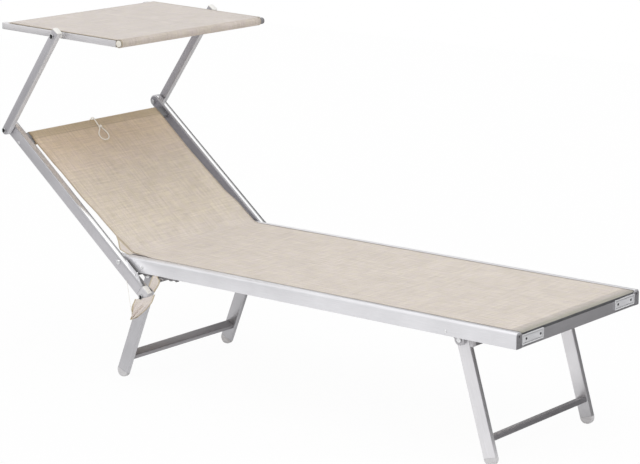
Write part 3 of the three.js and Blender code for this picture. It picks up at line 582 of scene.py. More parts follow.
# Pull cord: it leaves the back of the head bar, comes over its top and ends in a small loop
cordFacts = {
    "diameter": 0.004, "perSpan": 6,
    "knotTurns": 2.6, "knotSteps": 60, "knotRadius": 0.0017,
    "knotMiddle": (-0.0090, 0.4880, 0.0070), "knotReach": (0.0052, 0.0062, 0.0032),  # across, up and out
}
cordRoute = [
    (-6.5, 505, -18.2), (-6.5, 505.4, -22), (-6.5, 509, -26.5), (-6.5, 516, -28.5), (-6.5, 524, -26.5),
    (-6.5, 530.5, -20), (-6.5, 532.5, -12), (-6.5, 532.5, -4), (-6.5, 529.5, 3), (-7, 522, 5.7),
    (-8.5, 512, 5.6), (-10, 500, 5.5), (-11.5, 490, 5.6), (-17, 480, 5.7), (-26, 472, 5.9),
    (-35, 463, 6.1), (-39, 452, 6.3), (-37, 441.5, 6.4), (-29, 436, 6.4), (-18, 436.5, 6.4),
    (-8, 442, 6.3), (-2, 451, 6.2), (0, 461, 6), (-1.5, 471, 5.8), (-4, 479, 5.7),
    (-5.5, 485, 5.6),
]  # across, up and out, in millimetres


def smoothLine(points, perSpan):
    made = []
    last = len(points) - 1
    for span in range(last):
        p0, p1, p2, p3 = (points[min(max(span + k, 0), last)] for k in (-1, 0, 1, 2))
        for step in range(perSpan):
            t = step / perSpan
            curve = (2 * p0 - 5 * p1 + 4 * p2 - p3) * t**2 + (3 * p1 - p0 - 3 * p2 + p3) * t**3
            made.append(0.5 * (2 * p1 + (p2 - p0) * t + curve))
    return made + [points[-1]]


def lineLength(points):
    return sum((b - a).length for a, b in zip(points, points[1:]))


# Tube through points, with a UV map that runs along and round it
def hose(name, points, radius, sides=10):
    mesh = bpy.data.meshes.new(name)
    obj = bpy.data.objects.new(name, mesh)
    bpy.context.collection.objects.link(obj)
    build = bmesh.new()
    rings = []
    side = None
    for place, point in enumerate(points):
        ahead = (points[min(place + 1, len(points) - 1)] - points[max(place - 1, 0)]).normalized()
        if side is None:
            side = ahead.orthogonal().normalized()
        side = (side - ahead * side.dot(ahead)).normalized()
        other = ahead.cross(side)
        turns = [2 * math.pi * k / sides for k in range(sides)]
        rings.append([
            build.verts.new(point + radius * (math.cos(t) * side + math.sin(t) * other)) for t in turns
        ])
    for first, second in zip(rings, rings[1:]):
        for k in range(sides):
            build.faces.new((first[k], first[(k + 1) % sides], second[(k + 1) % sides], second[k]))
    build.faces.new(list(reversed(rings[0])))
    build.faces.new(rings[-1])
    build.to_mesh(mesh)
    build.free()
    mesh.polygons.foreach_set("use_smooth", [True] * len(mesh.polygons))
    return obj


cordPoints = [backPoint(*(value / 1000 for value in point)) for point in cordRoute]
cordLine = smoothLine(cordPoints, cordFacts["perSpan"])
pullCord = hose("pull_cord_line", cordLine, cordFacts["diameter"] / 2)
pullCord.data.materials.append(cordWhite)
knotLine = []
for step in range(cordFacts["knotSteps"] + 1):
    share = step / cordFacts["knotSteps"]
    turn = 2 * math.pi * cordFacts["knotTurns"] * share
    ways = (math.cos(turn), 0.5 - share, math.sin(turn))
    knotPlace = [
        at + reach * way for at, reach, way in zip(cordFacts["knotMiddle"], cordFacts["knotReach"], ways)
    ]
    knotLine.append(backPoint(*knotPlace))
knot = hose("pull_cord_knot", knotLine, cordFacts["knotRadius"], 8)
dress(knot, "backrest", cordWhite, rim=0, smooth=60)
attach(pullCord, "backrest")
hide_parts("pull_cord")
print("pull cord", round(lineLength(cordLine), 4))


# Seat rails: rounded over outside, with a step for the sling along the inner top edge
railShape = {
    "length": 1.42, "topRound": 0.008, "corner": 0.002, "wall": 0.002, "boreCorner": 0.0015,
    "stepWidth": 0.005, "stepDepth": 0.0049,
}


def isLong(a, b):
    return abs(a.x - b.x) > 1


def seatRail(side):
    outer, inner = side * railOuterY, side * railInnerY
    low = (footX - railShape["length"], min(outer, inner), railBottom)
    high = (footX, max(outer, inner), seatTop)
    obj = block(f"seat_rail_tube_{sideNames[side]}", low, high)
    bevelEdges(
        obj, lambda a, b: isLong(a, b) and abs(a.z - seatTop) < near and abs(a.y - outer) < near,
        railShape["topRound"], 8,
    )
    bevelEdges(obj, lambda a, b: isLong(a, b) and abs(a.z - railBottom) < near, railShape["corner"], 3)
    stepY = sorted((inner + side * railShape["stepWidth"], inner - side * overrun))
    stepBottom = seatTop - railShape["stepDepth"]
    fromX, toX = low[0] - overrun, high[0] + overrun
    cutAway(obj, block("step", (fromX, stepY[0], stepBottom), (toX, stepY[1], seatTop + overrun)))
    wall = railShape["wall"]
    bore = block("bore", (fromX, low[1] + wall, low[2] + wall), (toX, high[1] - wall, stepBottom - wall))
    bevelEdges(bore, isLong, railShape["boreCorner"], 2)
    cutAway(obj, bore)
    dress(obj, "seat_frame", railMetal, [f"seat_rail_{sideNames[side]}"], rimAngle=60)


# Push-in plugs that close the rails' ends, each with a small drain hole near its top
plugShape = {
    "inset": 0.0006, "thickness": 0.0012, "depth": 0.012, "root": 0.0005, "corner": 0.003,
    "hole": 0.0026, "holeAcross": 0.0125, "holeDrop": 0.0055, "holeOut": 0.002, "holeReach": 0.004,
}


def railPlug(side, end):
    # end is 1 at the foot and -1 at the head
    inset = plugShape["inset"]
    x = footX if end > 0 else footX - railShape["length"]
    faceX = sorted((x, x + end * plugShape["thickness"]))
    y = sorted((side * (railOuterY - inset), side * (railInnerY + inset)))
    stepBottom = seatTop - railShape["stepDepth"]
    top = stepBottom - inset
    face = block("face", (faceX[0], y[0], railBottom + inset), (faceX[1], y[1], top))
    outer = side * (railOuterY - inset)
    bevelEdges(
        face, lambda a, b: abs(a.x - b.x) > near and abs(a.y - outer) < near, plugShape["corner"], 4,
    )
    stemX = sorted((x - end * plugShape["depth"], x + end * plugShape["root"]))
    stemY = sorted((side * railInnerY, side * railOuterY))
    wall = railShape["wall"] + fit
    stem = block(
        "stem", (stemX[0], stemY[0] + wall, railBottom + wall),
        (stemX[1], stemY[1] - wall, stepBottom - wall),
    )
    obj = joined([face, stem])
    hole = rod("hole", plugShape["hole"], -plugShape["holeReach"], plugShape["holeReach"], 20)
    holeY = side * (railOuterY - plugShape["holeAcross"])
    settle(hole, shifted(x + end * plugShape["holeOut"], holeY, top - plugShape["holeDrop"]) @ zToX)
    cutAway(obj, hole)
    ending = "foot" if end > 0 else "head"
    obj.name = obj.data.name = f"rail_plug_{ending}_{sideNames[side]}"
    dress(obj, "seat_frame", plugPlastic, rim=0.0003)


for side in (right, left):
    seatRail(side)
    railPlug(side, 1)
    railPlug(side, -1)
print("seat rails done")

# Foot rail, with dark strips for the channel and spline that hold the sling, painted near-black as the shade
# in the slot under the sling's foot end, and rear cross tube, between the seat rails
footShape = {"depth": 0.028, "height": 0.0365, "corner": 0.002}
footShadeStrips = {
    # how far behind the rail's face from and to, height from and to, corner and its segments
    "foot_rail_channel_shade": (0.0030, -0.0002, 0.3828, 0.3864, 0.0006, 2),
    "sling_spline_foot_shade": (0.0095, 0.0006, 0.3866, 0.3898, 0.0009, 3),
}
stripHalf = 0.2735
rearTubeShape = {"radius": 0.011, "wall": 0.002, "behindFoot": 1.404, "rise": 0.022}
footRail = flatTube(
    "foot_rail_tube", footShape["depth"], footShape["height"], fit - railInnerY, railInnerY - fit,
    footShape["corner"],
)
settle(footRail, shifted(footX - footShape["depth"] / 2, 0, railBottom + footShape["height"] / 2) @ zAcross)
dress(footRail, "seat_frame", crossMetal, ["foot_rail"])
for name, (deep, shallow, low, high, corner, segments) in footShadeStrips.items():
    made = block(name, (footX - deep, -stripHalf, low), (footX - shallow, stripHalf, high))
    bevelEdges(made, lambda a, b: abs(a.y - b.y) > stripHalf, corner, segments)
    dress(made, "seat_frame", channelShade, rim=0)

rearTube = rod("rear_cross_tube_round", rearTubeShape["radius"], fit - railInnerY, railInnerY - fit, 40)
rearBore = rearTubeShape["radius"] - rearTubeShape["wall"]
cutAway(rearTube, rod("bore", rearBore, -railInnerY - overrun, railInnerY + overrun, 40))
rearTubePoint = footX - rearTubeShape["behindFoot"], 0, railBottom + rearTubeShape["rise"]
settle(rearTube, shifted(*rearTubePoint) @ zAcross)
dress(rearTube, "seat_frame", crossMetal, ["rear_cross_tube"])

# Corner plates on the foot rail, with a pressed border and two screws each
plateShape = {
    "length": 0.099, "height": 0.029, "thickness": 0.002, "rise": 0.007, "corner": 0.003,
    "border": 0.0035, "borderSlope": 0.001, "borderDepth": 0.0006,
}
screwShape = {
    "places": (0.2565, 0.1904), "height": 0.3722, "out": 0.0013,
    "radius": 0.0034, "thickness": 0.0012, "round": 0.0006,
    "slotHalf": 0.0028, "slotWidth": 0.001, "slotBottom": 0.0006, "slotTop": 0.002,
}


def cornerPlate(side):
    y = sorted((side * (railInnerY - fit), side * (railInnerY - fit - plateShape["length"])))
    x0 = footX + fit
    z0 = railBottom + plateShape["rise"]
    obj = block(
        f"corner_plate_pressed_{sideNames[side]}",
        (x0, y[0], z0), (x0 + plateShape["thickness"], y[1], z0 + plateShape["height"]),
    )
    bevelEdges(obj, lambda a, b: abs(a.x - b.x) > near, plateShape["corner"], 4)
    pickFaces(obj, lambda face: face.normal.x > 0.9)
    bpy.ops.mesh.inset(thickness=plateShape["border"], depth=0)
    bpy.ops.mesh.inset(thickness=plateShape["borderSlope"], depth=-plateShape["borderDepth"])
    bpy.ops.object.mode_set(mode="OBJECT")
    dress(obj, "seat_frame", plateMetal, [f"corner_plate_{sideNames[side]}"], rim=0.0002)
    for number, across in enumerate(screwShape["places"]):
        screw = rod("screw", screwShape["radius"], 0, screwShape["thickness"], 24)
        bevelEdges(screw, lambda a, b: min(a.z, b.z) > screwShape["thickness"] - near, screwShape["round"], 2)
        long, narrow = screwShape["slotHalf"], screwShape["slotWidth"] / 2
        for x, y in ((long, narrow), (narrow, long)):
            cutAway(screw, block("slot", (-x, -y, screwShape["slotBottom"]), (x, y, screwShape["slotTop"])))
        settle(screw, shifted(x0 + screwShape["out"], side * across, screwShape["height"]) @ zToX)
        screw.name = screw.data.name = f"plate_screw_{sideNames[side]}_{number + 1}"
        dress(screw, "seat_frame", screwSteel, rim=0)


for side in (right, left):
    cornerPlate(side)
print("foot end done")

# Bolts: a socket head outside, a lock nut inside, modelled once and copied
boltShape = {
    "shank": 0.004, "intoHead": 0.001, "head": 0.0075, "headHeight": 0.004,
    "edge": 0.0011, "domeEdge": 0.0026,
    "socket": 0.0033, "socketDepth": 0.0027, "dimple": 0.0022, "dimpleDepth": 0.0006,
    "nut": 0.0075, "nutHeight": 0.005, "nutEdge": 0.0009, "collar": 0.0054, "collarHeight": 0.0014,
}


def boltHead(domed):
    topZ = boltShape["headHeight"]
    head = rod("head", boltShape["head"], 0, topZ, 40)
    edge = boltShape["domeEdge"] if domed else boltShape["edge"]
    bevelEdges(head, lambda a, b: min(a.z, b.z) > topZ - near, edge, 5)
    if domed:
        cutAway(head, rod("dimple", boltShape["dimple"], topZ - boltShape["dimpleDepth"], topZ + overrun, 24))
        head.data.materials.append(boltBright)
        return head
    cutAway(head, rod("socket", boltShape["socket"], topZ - boltShape["socketDepth"], topZ + overrun, 6))

    def isSocket(face):
        middle = face.center
        return math.hypot(middle.x, middle.y) < boltShape["socket"] * 0.95 and middle.z > near

    # the socket's faces are painted near-black as the shade inside it
    byFace(head, (boltSteel, socketShade), isSocket)
    return head


def lockNut():
    height = boltShape["nutHeight"]
    nut = rod("nut", boltShape["nut"], -height, 0, 6)
    bevelEdges(nut, lambda a, b: max(a.z, b.z) < near - height, boltShape["nutEdge"], 2)
    collar = rod("collar", boltShape["collar"], -height - boltShape["collarHeight"], -height, 24)
    made = joined([nut, collar])
    made.data.materials.append(boltSteel)
    return made


socketTemplate, domeTemplate, nutTemplate = boltHead(False), boltHead(True), lockNut()


def bolt(nodeName, side, place, inner, outer, body, domed=False, withNut=True):
    shank = rod("shank", boltShape["shank"], inner, outer + boltShape["intoHead"], 24)
    shank.data.materials.append(boltSteel)
    template = domeTemplate if domed else socketTemplate
    head = template.copy()
    head.data = template.data.copy()
    parts = [head, shank]
    head.data.transform(Matrix.Translation((0, 0, outer + fit)))
    if withNut:
        nut = nutTemplate.copy()
        nut.data = nutTemplate.data.copy()
        nut.data.transform(Matrix.Translation((0, 0, inner - fit)))
        parts.append(nut)
    for part in (parts[0], *parts[2:]):
        bpy.context.collection.objects.link(part)
    obj = joined(parts)
    settle(obj, shifted(place.x, 0, place.z) @ zOutward(side))
    obj.name = obj.data.name = f"{nodeName}_hardware"
    dress(obj, body, boltSteel, [nodeName], rim=0)


frontPivot = Vector((footX - 0.210, 0, 0.332))
rearPivot = Vector((footX - 1.3285, 0, 0.332))
latchPivot = backMatrix @ Vector((-0.0155, 0, -0.126))
for side in (right, left):
    name = sideNames[side]
    bolt(f"front_pivot_bolt_{name}", side, frontPivot, legInnerY, bracketOuterY, "front_legs", domed=True)
    bolt(f"rear_pivot_bolt_{name}", side, rearPivot, legInnerY, bracketOuterY, "rear_legs", domed=True)
    bolt(f"back_pivot_bolt_{name}", side, hinge, railInnerY, backOuterY, "backrest", domed=True)
    bolt(f"latch_bolt_{name}", side, latchPivot, latchInnerY, backOuterY, "backrest", withNut=False)
    bolt(f"arm_bolt_{name}", side, armPivot, backInnerY, armOuterY, "canopy_arms")
    bolt(f"canopy_bolt_{name}", side, canopyPivot, canopyInnerY, armOuterY, "canopy")
for template in (socketTemplate, domeTemplate, nutTemplate):
    bpy.data.objects.remove(template)
print("bolts done")


# Domed rivets: two on the outer face of each seat rail, one on each backrest rail
def rivet(name, radius, place, side, body):
    height = 0.0018
    obj = rod(name, radius, 0, height, 28)
    bevelEdges(obj, lambda a, b: min(a.z, b.z) > height - near, min(radius * 0.7, height * 0.95), 4)
    settle(obj, shifted(*place) @ zOutward(side))
    dress(obj, body, boltBright, rim=0, smooth=50)


for side in (right, left):
    name = sideNames[side]
    for end, x, z in (("rear", -1.312, 0.367), ("front", -0.2246, 0.3618)):
        rivet(f"rail_rivet_{end}_{name}", 0.0052, (footX + x, side * railOuterY, z), side, "seat_frame")
    rivet(f"back_rivet_{name}", 0.0046, backPoint(side * backOuterY, 0.505, -0.0165), side, "backrest")
print("rivets done")

# Leg sets: each leg a flat tube with a round plastic foot, and two bars across
legShape = {
    "width": 0.040, "thickness": 0.016, "corner": 0.0025,
    "footRise": 0.001, "footFlat": 0.0015, "footRim": 0.0005,
}
barShape = {
    "lowerWidth": 0.030, "lowerThickness": 0.015, "lowerRise": 0.076,
    "upperHeight": 0.030, "upperThickness": 0.015, "upperDrop": 0.0025,
    "corner": 0.0025, "capRim": 0.0012,
}
legSets = {
    "front": {"pivot": frontPivot, "lean": frontLegLean, "body": "front_legs", "metal": frontLegMetal},
    "rear": {"pivot": rearPivot, "lean": rearLegLean, "body": "rear_legs", "metal": rearLegShadeMetal},
}


def legSet(setName, facts):
    body = facts["body"]
    straight = Matrix.Translation(facts["pivot"])
    leaning = straight @ Matrix.Rotation(facts["lean"], 4, "Y")
    half = legShape["width"] / 2
    reach = (facts["pivot"].z - half + legShape["footFlat"]) / math.cos(facts["lean"])
    footTop = legShape["footRise"] - reach
    upperX = half + fit + barShape["upperThickness"] / 2
    for side in (right, left):
        name = sideNames[side]
        middle = (0, side * (legOuterY + legInnerY) / 2)
        leg = flatTube(
            f"leg_{setName}_tube_{name}", legShape["width"], legShape["thickness"], footTop + fit, half,
            legShape["corner"], roundTop=True, centre=middle,
        )
        settle(leg, leaning)
        dress(leg, body, facts["metal"], [f"leg_{setName}_{name}"])
        foot = flatTube(
            f"{setName}_foot_moulded_{name}", legShape["width"], legShape["thickness"], -reach - half,
            footTop, legShape["corner"], wall=0, roundBottom=True, centre=middle,
        )
        settle(foot, leaning)
        only(foot)
        bpy.ops.object.mode_set(mode="EDIT")
        bpy.ops.mesh.select_all(action="SELECT")
        bpy.ops.mesh.bisect(plane_co=(0, 0, 0), plane_no=(0, 0, -1), use_fill=True, clear_outer=True)
        bpy.ops.object.mode_set(mode="OBJECT")
        dress(foot, body, footPlastic, [f"{setName}_foot_{name}"], rim=legShape["footRim"])
        capY = sorted((side * legInnerY, side * legOuterY))
        halfDeep, halfHigh = barShape["upperThickness"] / 2, barShape["upperHeight"] / 2
        cap = block(
            f"{setName}_bar_cap_moulded_{name}",
            (upperX - halfDeep, capY[0], -barShape["upperDrop"] - halfHigh),
            (upperX + halfDeep, capY[1], -barShape["upperDrop"] + halfHigh),
        )
        legSpace = block(
            "leg_space", (-half - fit, capY[0] - overrun, -2 * reach), (half + fit, capY[1] + overrun, half),
        )
        settle(legSpace, Matrix.Rotation(facts["lean"], 4, "Y"))
        cutAway(cap, legSpace)
        settle(cap, straight)
        dress(
            cap, body, capPlastic, [f"{setName}_bar_cap_{name}"], rim=barShape["capRim"],
            rimAngle=40,
        )
    barEnd = legInnerY - fit
    lowerZ = barShape["lowerRise"] - (reach + half - legShape["footFlat"]) - barShape["lowerThickness"] / 2
    lower = flatTube(
        f"{setName}_lower_bar_tube", barShape["lowerWidth"], barShape["lowerThickness"], -barEnd, barEnd,
        barShape["corner"],
    )
    settle(lower, leaning @ shifted(0, 0, lowerZ) @ zAcross)
    dress(lower, body, barShadeMetal, [f"{setName}_lower_bar"])
    upper = flatTube(
        f"{setName}_upper_bar_tube", barShape["upperThickness"], barShape["upperHeight"], -barEnd, barEnd,
        barShape["corner"],
    )
    settle(upper, straight @ shifted(upperX, 0, -barShape["upperDrop"]) @ zAcross)
    dress(upper, body, barShadeMetal, [f"{setName}_upper_bar"])


for setName, facts in legSets.items():
    legSet(setName, facts)
print("legs done")

# Pieces whose solids already have their form get a fine rim and a finish
for side in (right, left):
    name = sideNames[side]
    for end in ("front", "rear"):
        bracket = tidiedCopy(f"leg_bracket_{end}_{name}", f"leg_bracket_{end}_cast_{name}")
        dress(bracket, "seat_frame", crossMetal, [f"leg_bracket_{end}_{name}"], rim=0.0008)
    rack = tidiedCopy(f"notch_rack_{name}", f"notch_rack_moulded_{name}")
    dress(rack, "seat_frame", rackPlastic, [f"notch_rack_{name}"])
    link = tidiedCopy(f"latch_link_{name}", f"latch_link_pressed_{name}")
    dress(link, "recline_latch", boltSteel, [f"latch_link_{name}"], rim=0.0003)
print("brackets, racks and links done")

# Backrest rails: front face painted near-white as a highlight, inner face and forward corners painted darker
# as shade, and a clear grey cap on the lower end, its front face painted white as the same highlight
backShape = {
    "height": 0.036, "width": 0.025, "corner": 0.004, "centre": -0.0075, "top": 0.575, "bottom": -0.146,
    "capTop": -0.108, "capGap": 0.0004, "capRim": 0.0006,
}
# A dark plate at each hinge that stands for the shadow in the gap between the rails: painted shade
gapShadeShape = {"back": -0.006, "low": -0.054, "high": -0.010, "proud": 0.0022, "corner": 0.002}
headBarShape = {"depth": 0.015, "height": 0.040, "corner": 0.003, "out": -0.0075, "up": 0.505}
backFront = backShape["centre"] + backShape["height"] / 2


def backRail(side):
    name = sideNames[side]
    middle = (backShape["centre"], side * (backInnerY + backShape["width"] / 2))
    rail = flatTube(
        f"back_rail_tube_{name}", backShape["height"], backShape["width"], backShape["capTop"],
        backShape["top"], backShape["corner"], roundTop=True, centre=middle,
    )

    # front face painted highlight, inner face painted shade, forward corners painted shade
    def railFaceKind(face):
        if face.normal.x > 0.99:
            return 2
        if face.normal.y * side < -0.99 and abs(face.center.y - side * backInnerY) < fit:
            return 1
        return 3 if face.normal.x > 0.1 and abs(face.normal.z) < 0.1 else 0

    byFace(rail, (backMetal, backInnerShade, backFaceHighlight, cornerShadeMetal), railFaceKind)
    settle(rail, backMatrix)
    dress(rail, "backrest", backMetal, [f"back_rail_{name}"])
    gap = backShape["capGap"]
    cap = flatTube(
        f"back_rail_end_cap_{name}", backShape["height"] - gap, backShape["width"] - gap, backShape["bottom"],
        backShape["capTop"] - gap, backShape["corner"], wall=0, roundBottom=True, centre=middle,
    )
    # the cap's front face is painted white, the same painted highlight as the rail's front face
    byFace(cap, (capPlastic, whitePlastic), lambda face: face.normal.x > 0.9)
    settle(cap, backMatrix)
    dress(cap, "backrest", capPlastic, rim=backShape["capRim"])


def hingeGapShade(side):
    # a dark plate in the gap between the seat rail and the backrest rail: painted shade for the shadow in
    # that gap
    y = sorted((side * (railOuterY + fit), side * (backInnerY - fit)))
    front = backFront + gapShadeShape["proud"]
    shim = block(
        f"hinge_gap_shade_{sideNames[side]}", (gapShadeShape["back"], y[0], gapShadeShape["low"]),
        (front, y[1], gapShadeShape["high"]),
    )
    bevelEdges(shim, lambda a, b: abs(a.y - b.y) > near, gapShadeShape["corner"], 3)
    settle(shim, backMatrix)
    dress(shim, "backrest", rackPlastic, rim=0.0003)


for side in (right, left):
    backRail(side)
    hingeGapShade(side)
headBar = flatTube(
    "head_bar_tube", headBarShape["depth"], headBarShape["height"], fit - backInnerY, backInnerY - fit,
    headBarShape["corner"],
)
settle(headBar, backMatrix @ shifted(headBarShape["out"], 0, headBarShape["up"]) @ zAcross)
dress(headBar, "backrest", headBarMetal, ["head_bar"])
print("backrest frame done")

# Canopy arms, their white top caps, side bars and tubes
armShape = {
    "width": 0.025, "thickness": 0.020, "corner": 0.0025, "offset": 0.0015, "above": 0.022, "cap": 0.003,
    "capRound": 0.0012,
}
canopyShape = {
    "bar": 0.020, "corner": 0.002, "front": 0.222, "rear": -0.242, "frontTube": 0.010, "rearTube": 0.008,
    "wall": 0.0015, "frontX": 0.2344, "frontZ": 0.002, "rearX": -0.209, "rearZ": 0.0017,
}
barPlugShape = {"half": 0.0098, "out": 0.001, "in": 0.0002, "corner": 0.0018}
spacerShape = {"radius": 0.009, "round": 0.0012}
tubePlugShape = {"radius": 0.0097, "from": 0.0001, "to": 0.0012, "round": 0.0007}
frontTubePlace = canopyMatrix @ shifted(canopyShape["frontX"], 0, canopyShape["frontZ"])
rearTubePlace = canopyMatrix @ shifted(canopyShape["rearX"], 0, canopyShape["rearZ"])


def canopyArm(side):
    name = sideNames[side]
    armTop = armLength + armShape["above"] - armShape["cap"] - fit
    middle = (armShape["offset"], side * (armInnerY + armOuterY) / 2)
    arm = flatTube(
        f"canopy_arm_tube_{name}", armShape["width"], armShape["thickness"], -armShape["width"] / 2, armTop,
        armShape["corner"], roundBottom=True, centre=middle,
    )

    # front face painted lighter as a highlight; inner face and forward corners painted darker as shade
    def armFaceKind(face):
        if face.normal.x > 0.98:
            return 1
        if face.normal.y * side < -0.98:
            return 2
        return 3 if face.normal.x > 0.1 else 0

    byFace(arm, (armMetal, armFaceHighlight, armInnerShade, cornerShadeMetal), armFaceKind)
    settle(arm, armMatrix)
    dress(arm, "canopy_arms", armMetal, [f"canopy_arm_{name}"])
    halfWidth, halfThickness = armShape["width"] / 2, armShape["thickness"] / 2
    capTop = armTop + fit + armShape["cap"]
    cap = block(
        f"arm_cap_moulded_{name}", (-halfWidth, -halfThickness, armTop + fit),
        (halfWidth, halfThickness, capTop),
    )
    bevelEdges(cap, lambda a, b: abs(a.z - b.z) > near, armShape["corner"], 4)
    bevelEdges(cap, lambda a, b: min(a.z, b.z) > capTop - near, armShape["capRound"], 3)
    settle(cap, armMatrix @ shifted(*middle, 0))
    dress(cap, "canopy_arms", whitePlastic, [f"arm_top_cap_{name}"], rim=0)


def canopyBar(side):
    name = sideNames[side]
    place = canopyMatrix @ shifted(0, side * (canopyOuterY + canopyInnerY) / 2, 0)
    bar = flatTube(
        f"canopy_side_bar_tube_{name}", canopyShape["bar"], canopyShape["bar"], canopyShape["rear"],
        canopyShape["front"], canopyShape["corner"],
    )
    settle(bar, place @ zToX)
    dress(bar, "canopy", canopyMetal, [f"canopy_side_bar_{name}"])
    half, rear = barPlugShape["half"], canopyShape["rear"]
    plug = block("plug", (rear - barPlugShape["out"], -half, -half), (rear + barPlugShape["in"], half, half))
    bevelEdges(plug, lambda a, b: abs(a.x - b.x) > near, barPlugShape["corner"], 3)
    plug.name = plug.data.name = f"canopy_bar_plug_{name}"
    settle(plug, place)
    dress(plug, "canopy", plugPlastic, rim=0.0003)
    spacer = rod(f"canopy_spacer_{name}", spacerShape["radius"], canopyOuterY + fit, armInnerY - fit, 36)
    bevelEdges(spacer, lambda a, b: abs(a.z - b.z) < near, spacerShape["round"], 3)
    settle(spacer, canopyMatrix @ zOutward(side))
    dress(spacer, "canopy", whitePlastic, rim=0)


def canopyTube(end, radius, halfLength, place):
    tube = rod(f"canopy_{end}_tube_round", radius, -halfLength, halfLength, 40)
    boreReach = halfLength + overrun
    cutAway(tube, rod("bore", radius - canopyShape["wall"], -boreReach, boreReach, 40))
    settle(tube, place @ zAcross)
    dress(tube, "canopy", crossMetal, [f"canopy_{end}_tube"])


def tubePlug(side):
    plug = rod(
        f"canopy_tube_plug_{sideNames[side]}", tubePlugShape["radius"], canopyOuterY + tubePlugShape["from"],
        canopyOuterY + tubePlugShape["to"], 36,
    )
    bevelEdges(plug, lambda a, b: min(a.z, b.z) > canopyOuterY, tubePlugShape["round"], 3)
    settle(plug, frontTubePlace @ zOutward(side))
    dress(plug, "canopy", plugCream, rim=0)


for side in (right, left):
    canopyArm(side)
    canopyBar(side)
canopyTube("front", canopyShape["frontTube"], canopyOuterY, frontTubePlace)
for side in (right, left):
    tubePlug(side)
canopyTube("rear", canopyShape["rearTube"], canopyInnerY - fit, rearTubePlace)
print("canopy frame done")


# Cloth on a grid: line is the middle line of its outer face, each point with its half width, which may be
# a pair, for the right and the left
def cloth(name, line, columns, thickness, surface, material, body, stands):
    mesh = bpy.data.meshes.new(name)
    obj = bpy.data.objects.new(name, mesh)
    bpy.context.collection.objects.link(obj)
    build = bmesh.new()
    uvLayer = build.loops.layers.uv.new("cloth")
    edgeLayer = build.verts.layers.float.new("edgeGap")
    along = [0.0]
    for (a, _), (b, _) in zip(line, line[1:]):
        along.append(along[-1] + (b - a).length)
    grid = []
    for row, (point, halves) in enumerate(line):
        made = []
        for column in range(columns + 1):
            across = 2 * column / columns - 1
            half = halves if isinstance(halves, float) else halves[across > 0]
            vertex = build.verts.new(surface(row, across, point, half))
            vertex[edgeLayer] = half * (1 - abs(across))
            made.append((vertex, half * across, along[row]))
        grid.append(made)
    for lower, upper in zip(grid, grid[1:]):
        for column in range(columns):
            corners = (lower[column], lower[column + 1], upper[column + 1], upper[column])
            face = build.faces.new([corner[0] for corner in corners])
            face.smooth = True
            for loop, corner in zip(face.loops, corners):
                loop[uvLayer].uv = corner[1:]
    build.to_mesh(mesh)
    build.free()
    only(obj)
    modifier = obj.modifiers.new("thickness", "SOLIDIFY")
    modifier.thickness, modifier.offset = thickness, -1
    bpy.ops.object.modifier_apply(modifier=modifier.name)
    obj.data.materials.append(material)
    if body:
        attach(obj, body)
    if stands:
        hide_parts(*stands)
    return obj, along


def smoothStep(value):
    value = min(1, max(0, value))
    return value * value * (3 - 2 * value)


# The sling is one cloth from the foot rail to the head bar, which it wraps
slingShape = {
    "thickness": 0.0011, "top": 0.3936, "sag": 0.007, "sagLength": 1.373, "fullHalf": 0.2797, "columns": 44,
    "seatSteps": 110, "bendSteps": 8, "backSteps": 48,
    "footDip": 0.0016, "footDipLength": 0.014,  # how the foot end sinks between the rails
    # half widths at the hinge, and how far before it the seat narrows to them
    "rearHalves": (0.262, 0.2792), "taper": 0.09, "taperEnd": 0.004,
    "bend": 0.026, "bendOut": 0.0016,
    "backFrom": 0.006, "backRise": 0.010, "backTo": 0.505, "backFront": 0.0029,
    "backEnd": 0.500, "backDip": 0.004,
    "seatCrinkle": 0.0005, "backCrinkle": 0.0008, "sleeveExtra": 0.02,
}
# its turned-down foot end, behind the foot rail's face and up from the floor
footCurl = [(-0.0016, 0.3899), (-0.0018, 0.3909), (-0.0026, 0.3918), (-0.0042, 0.3926), (-0.0065, 0.3932)]
curlEnd = -0.0095
# half width towards the right and the left, by the distance up the backrest
backHalves = [
    (0.025, 0.2665, 0.2865), (0.09, 0.2745, 0.285), (0.16, 0.278, 0.273), (0.256, 0.285, 0.271),
    (0.343, 0.285, 0.269), (0.403, 0.288, 0.2715), (0.509, 0.289, 0.276),
]
# the sleeve round the head bar, up the backrest and out from it
sleeveHalves = (0.285, 0.276)
sleeveRoute = [
    (0.5035, 0.0026), (0.507, 0.0019), (0.5125, 0.0017), (0.518, 0.0017), (0.5225, 0.0015),
    (0.5252, 0.0004), (0.5265, -0.002), (0.5267, -0.0055), (0.5267, -0.0095), (0.5265, -0.013),
    (0.5252, -0.0154), (0.5225, -0.0165), (0.517, -0.0167), (0.509, -0.0167), (0.501, -0.0167),
    (0.493, -0.0167), (0.4875, -0.0165), (0.4848, -0.0154), (0.4835, -0.013), (0.4833, -0.0095),
    (0.4833, -0.0055), (0.4835, -0.002), (0.4848, 0.0003), (0.4875, 0.00115), (0.492, 0.0013),
    (0.497, 0.0013), (0.502, 0.0013),
]


def backHalf(up):
    for (fromUp, *fromHalves), (toUp, *toHalves) in zip(backHalves, backHalves[1:]):
        if up <= toUp:
            part = smoothStep((up - fromUp) / (toUp - fromUp))
            return tuple(a + (b - a) * part for a, b in zip(fromHalves, toHalves))
    return tuple(backHalves[-1][1:])


def backOut(up):
    part = (up - slingShape["backFrom"]) / (slingShape["backTo"] - slingShape["backFrom"])
    return slingShape["backRise"] + (slingShape["backFront"] - slingShape["backRise"]) * part


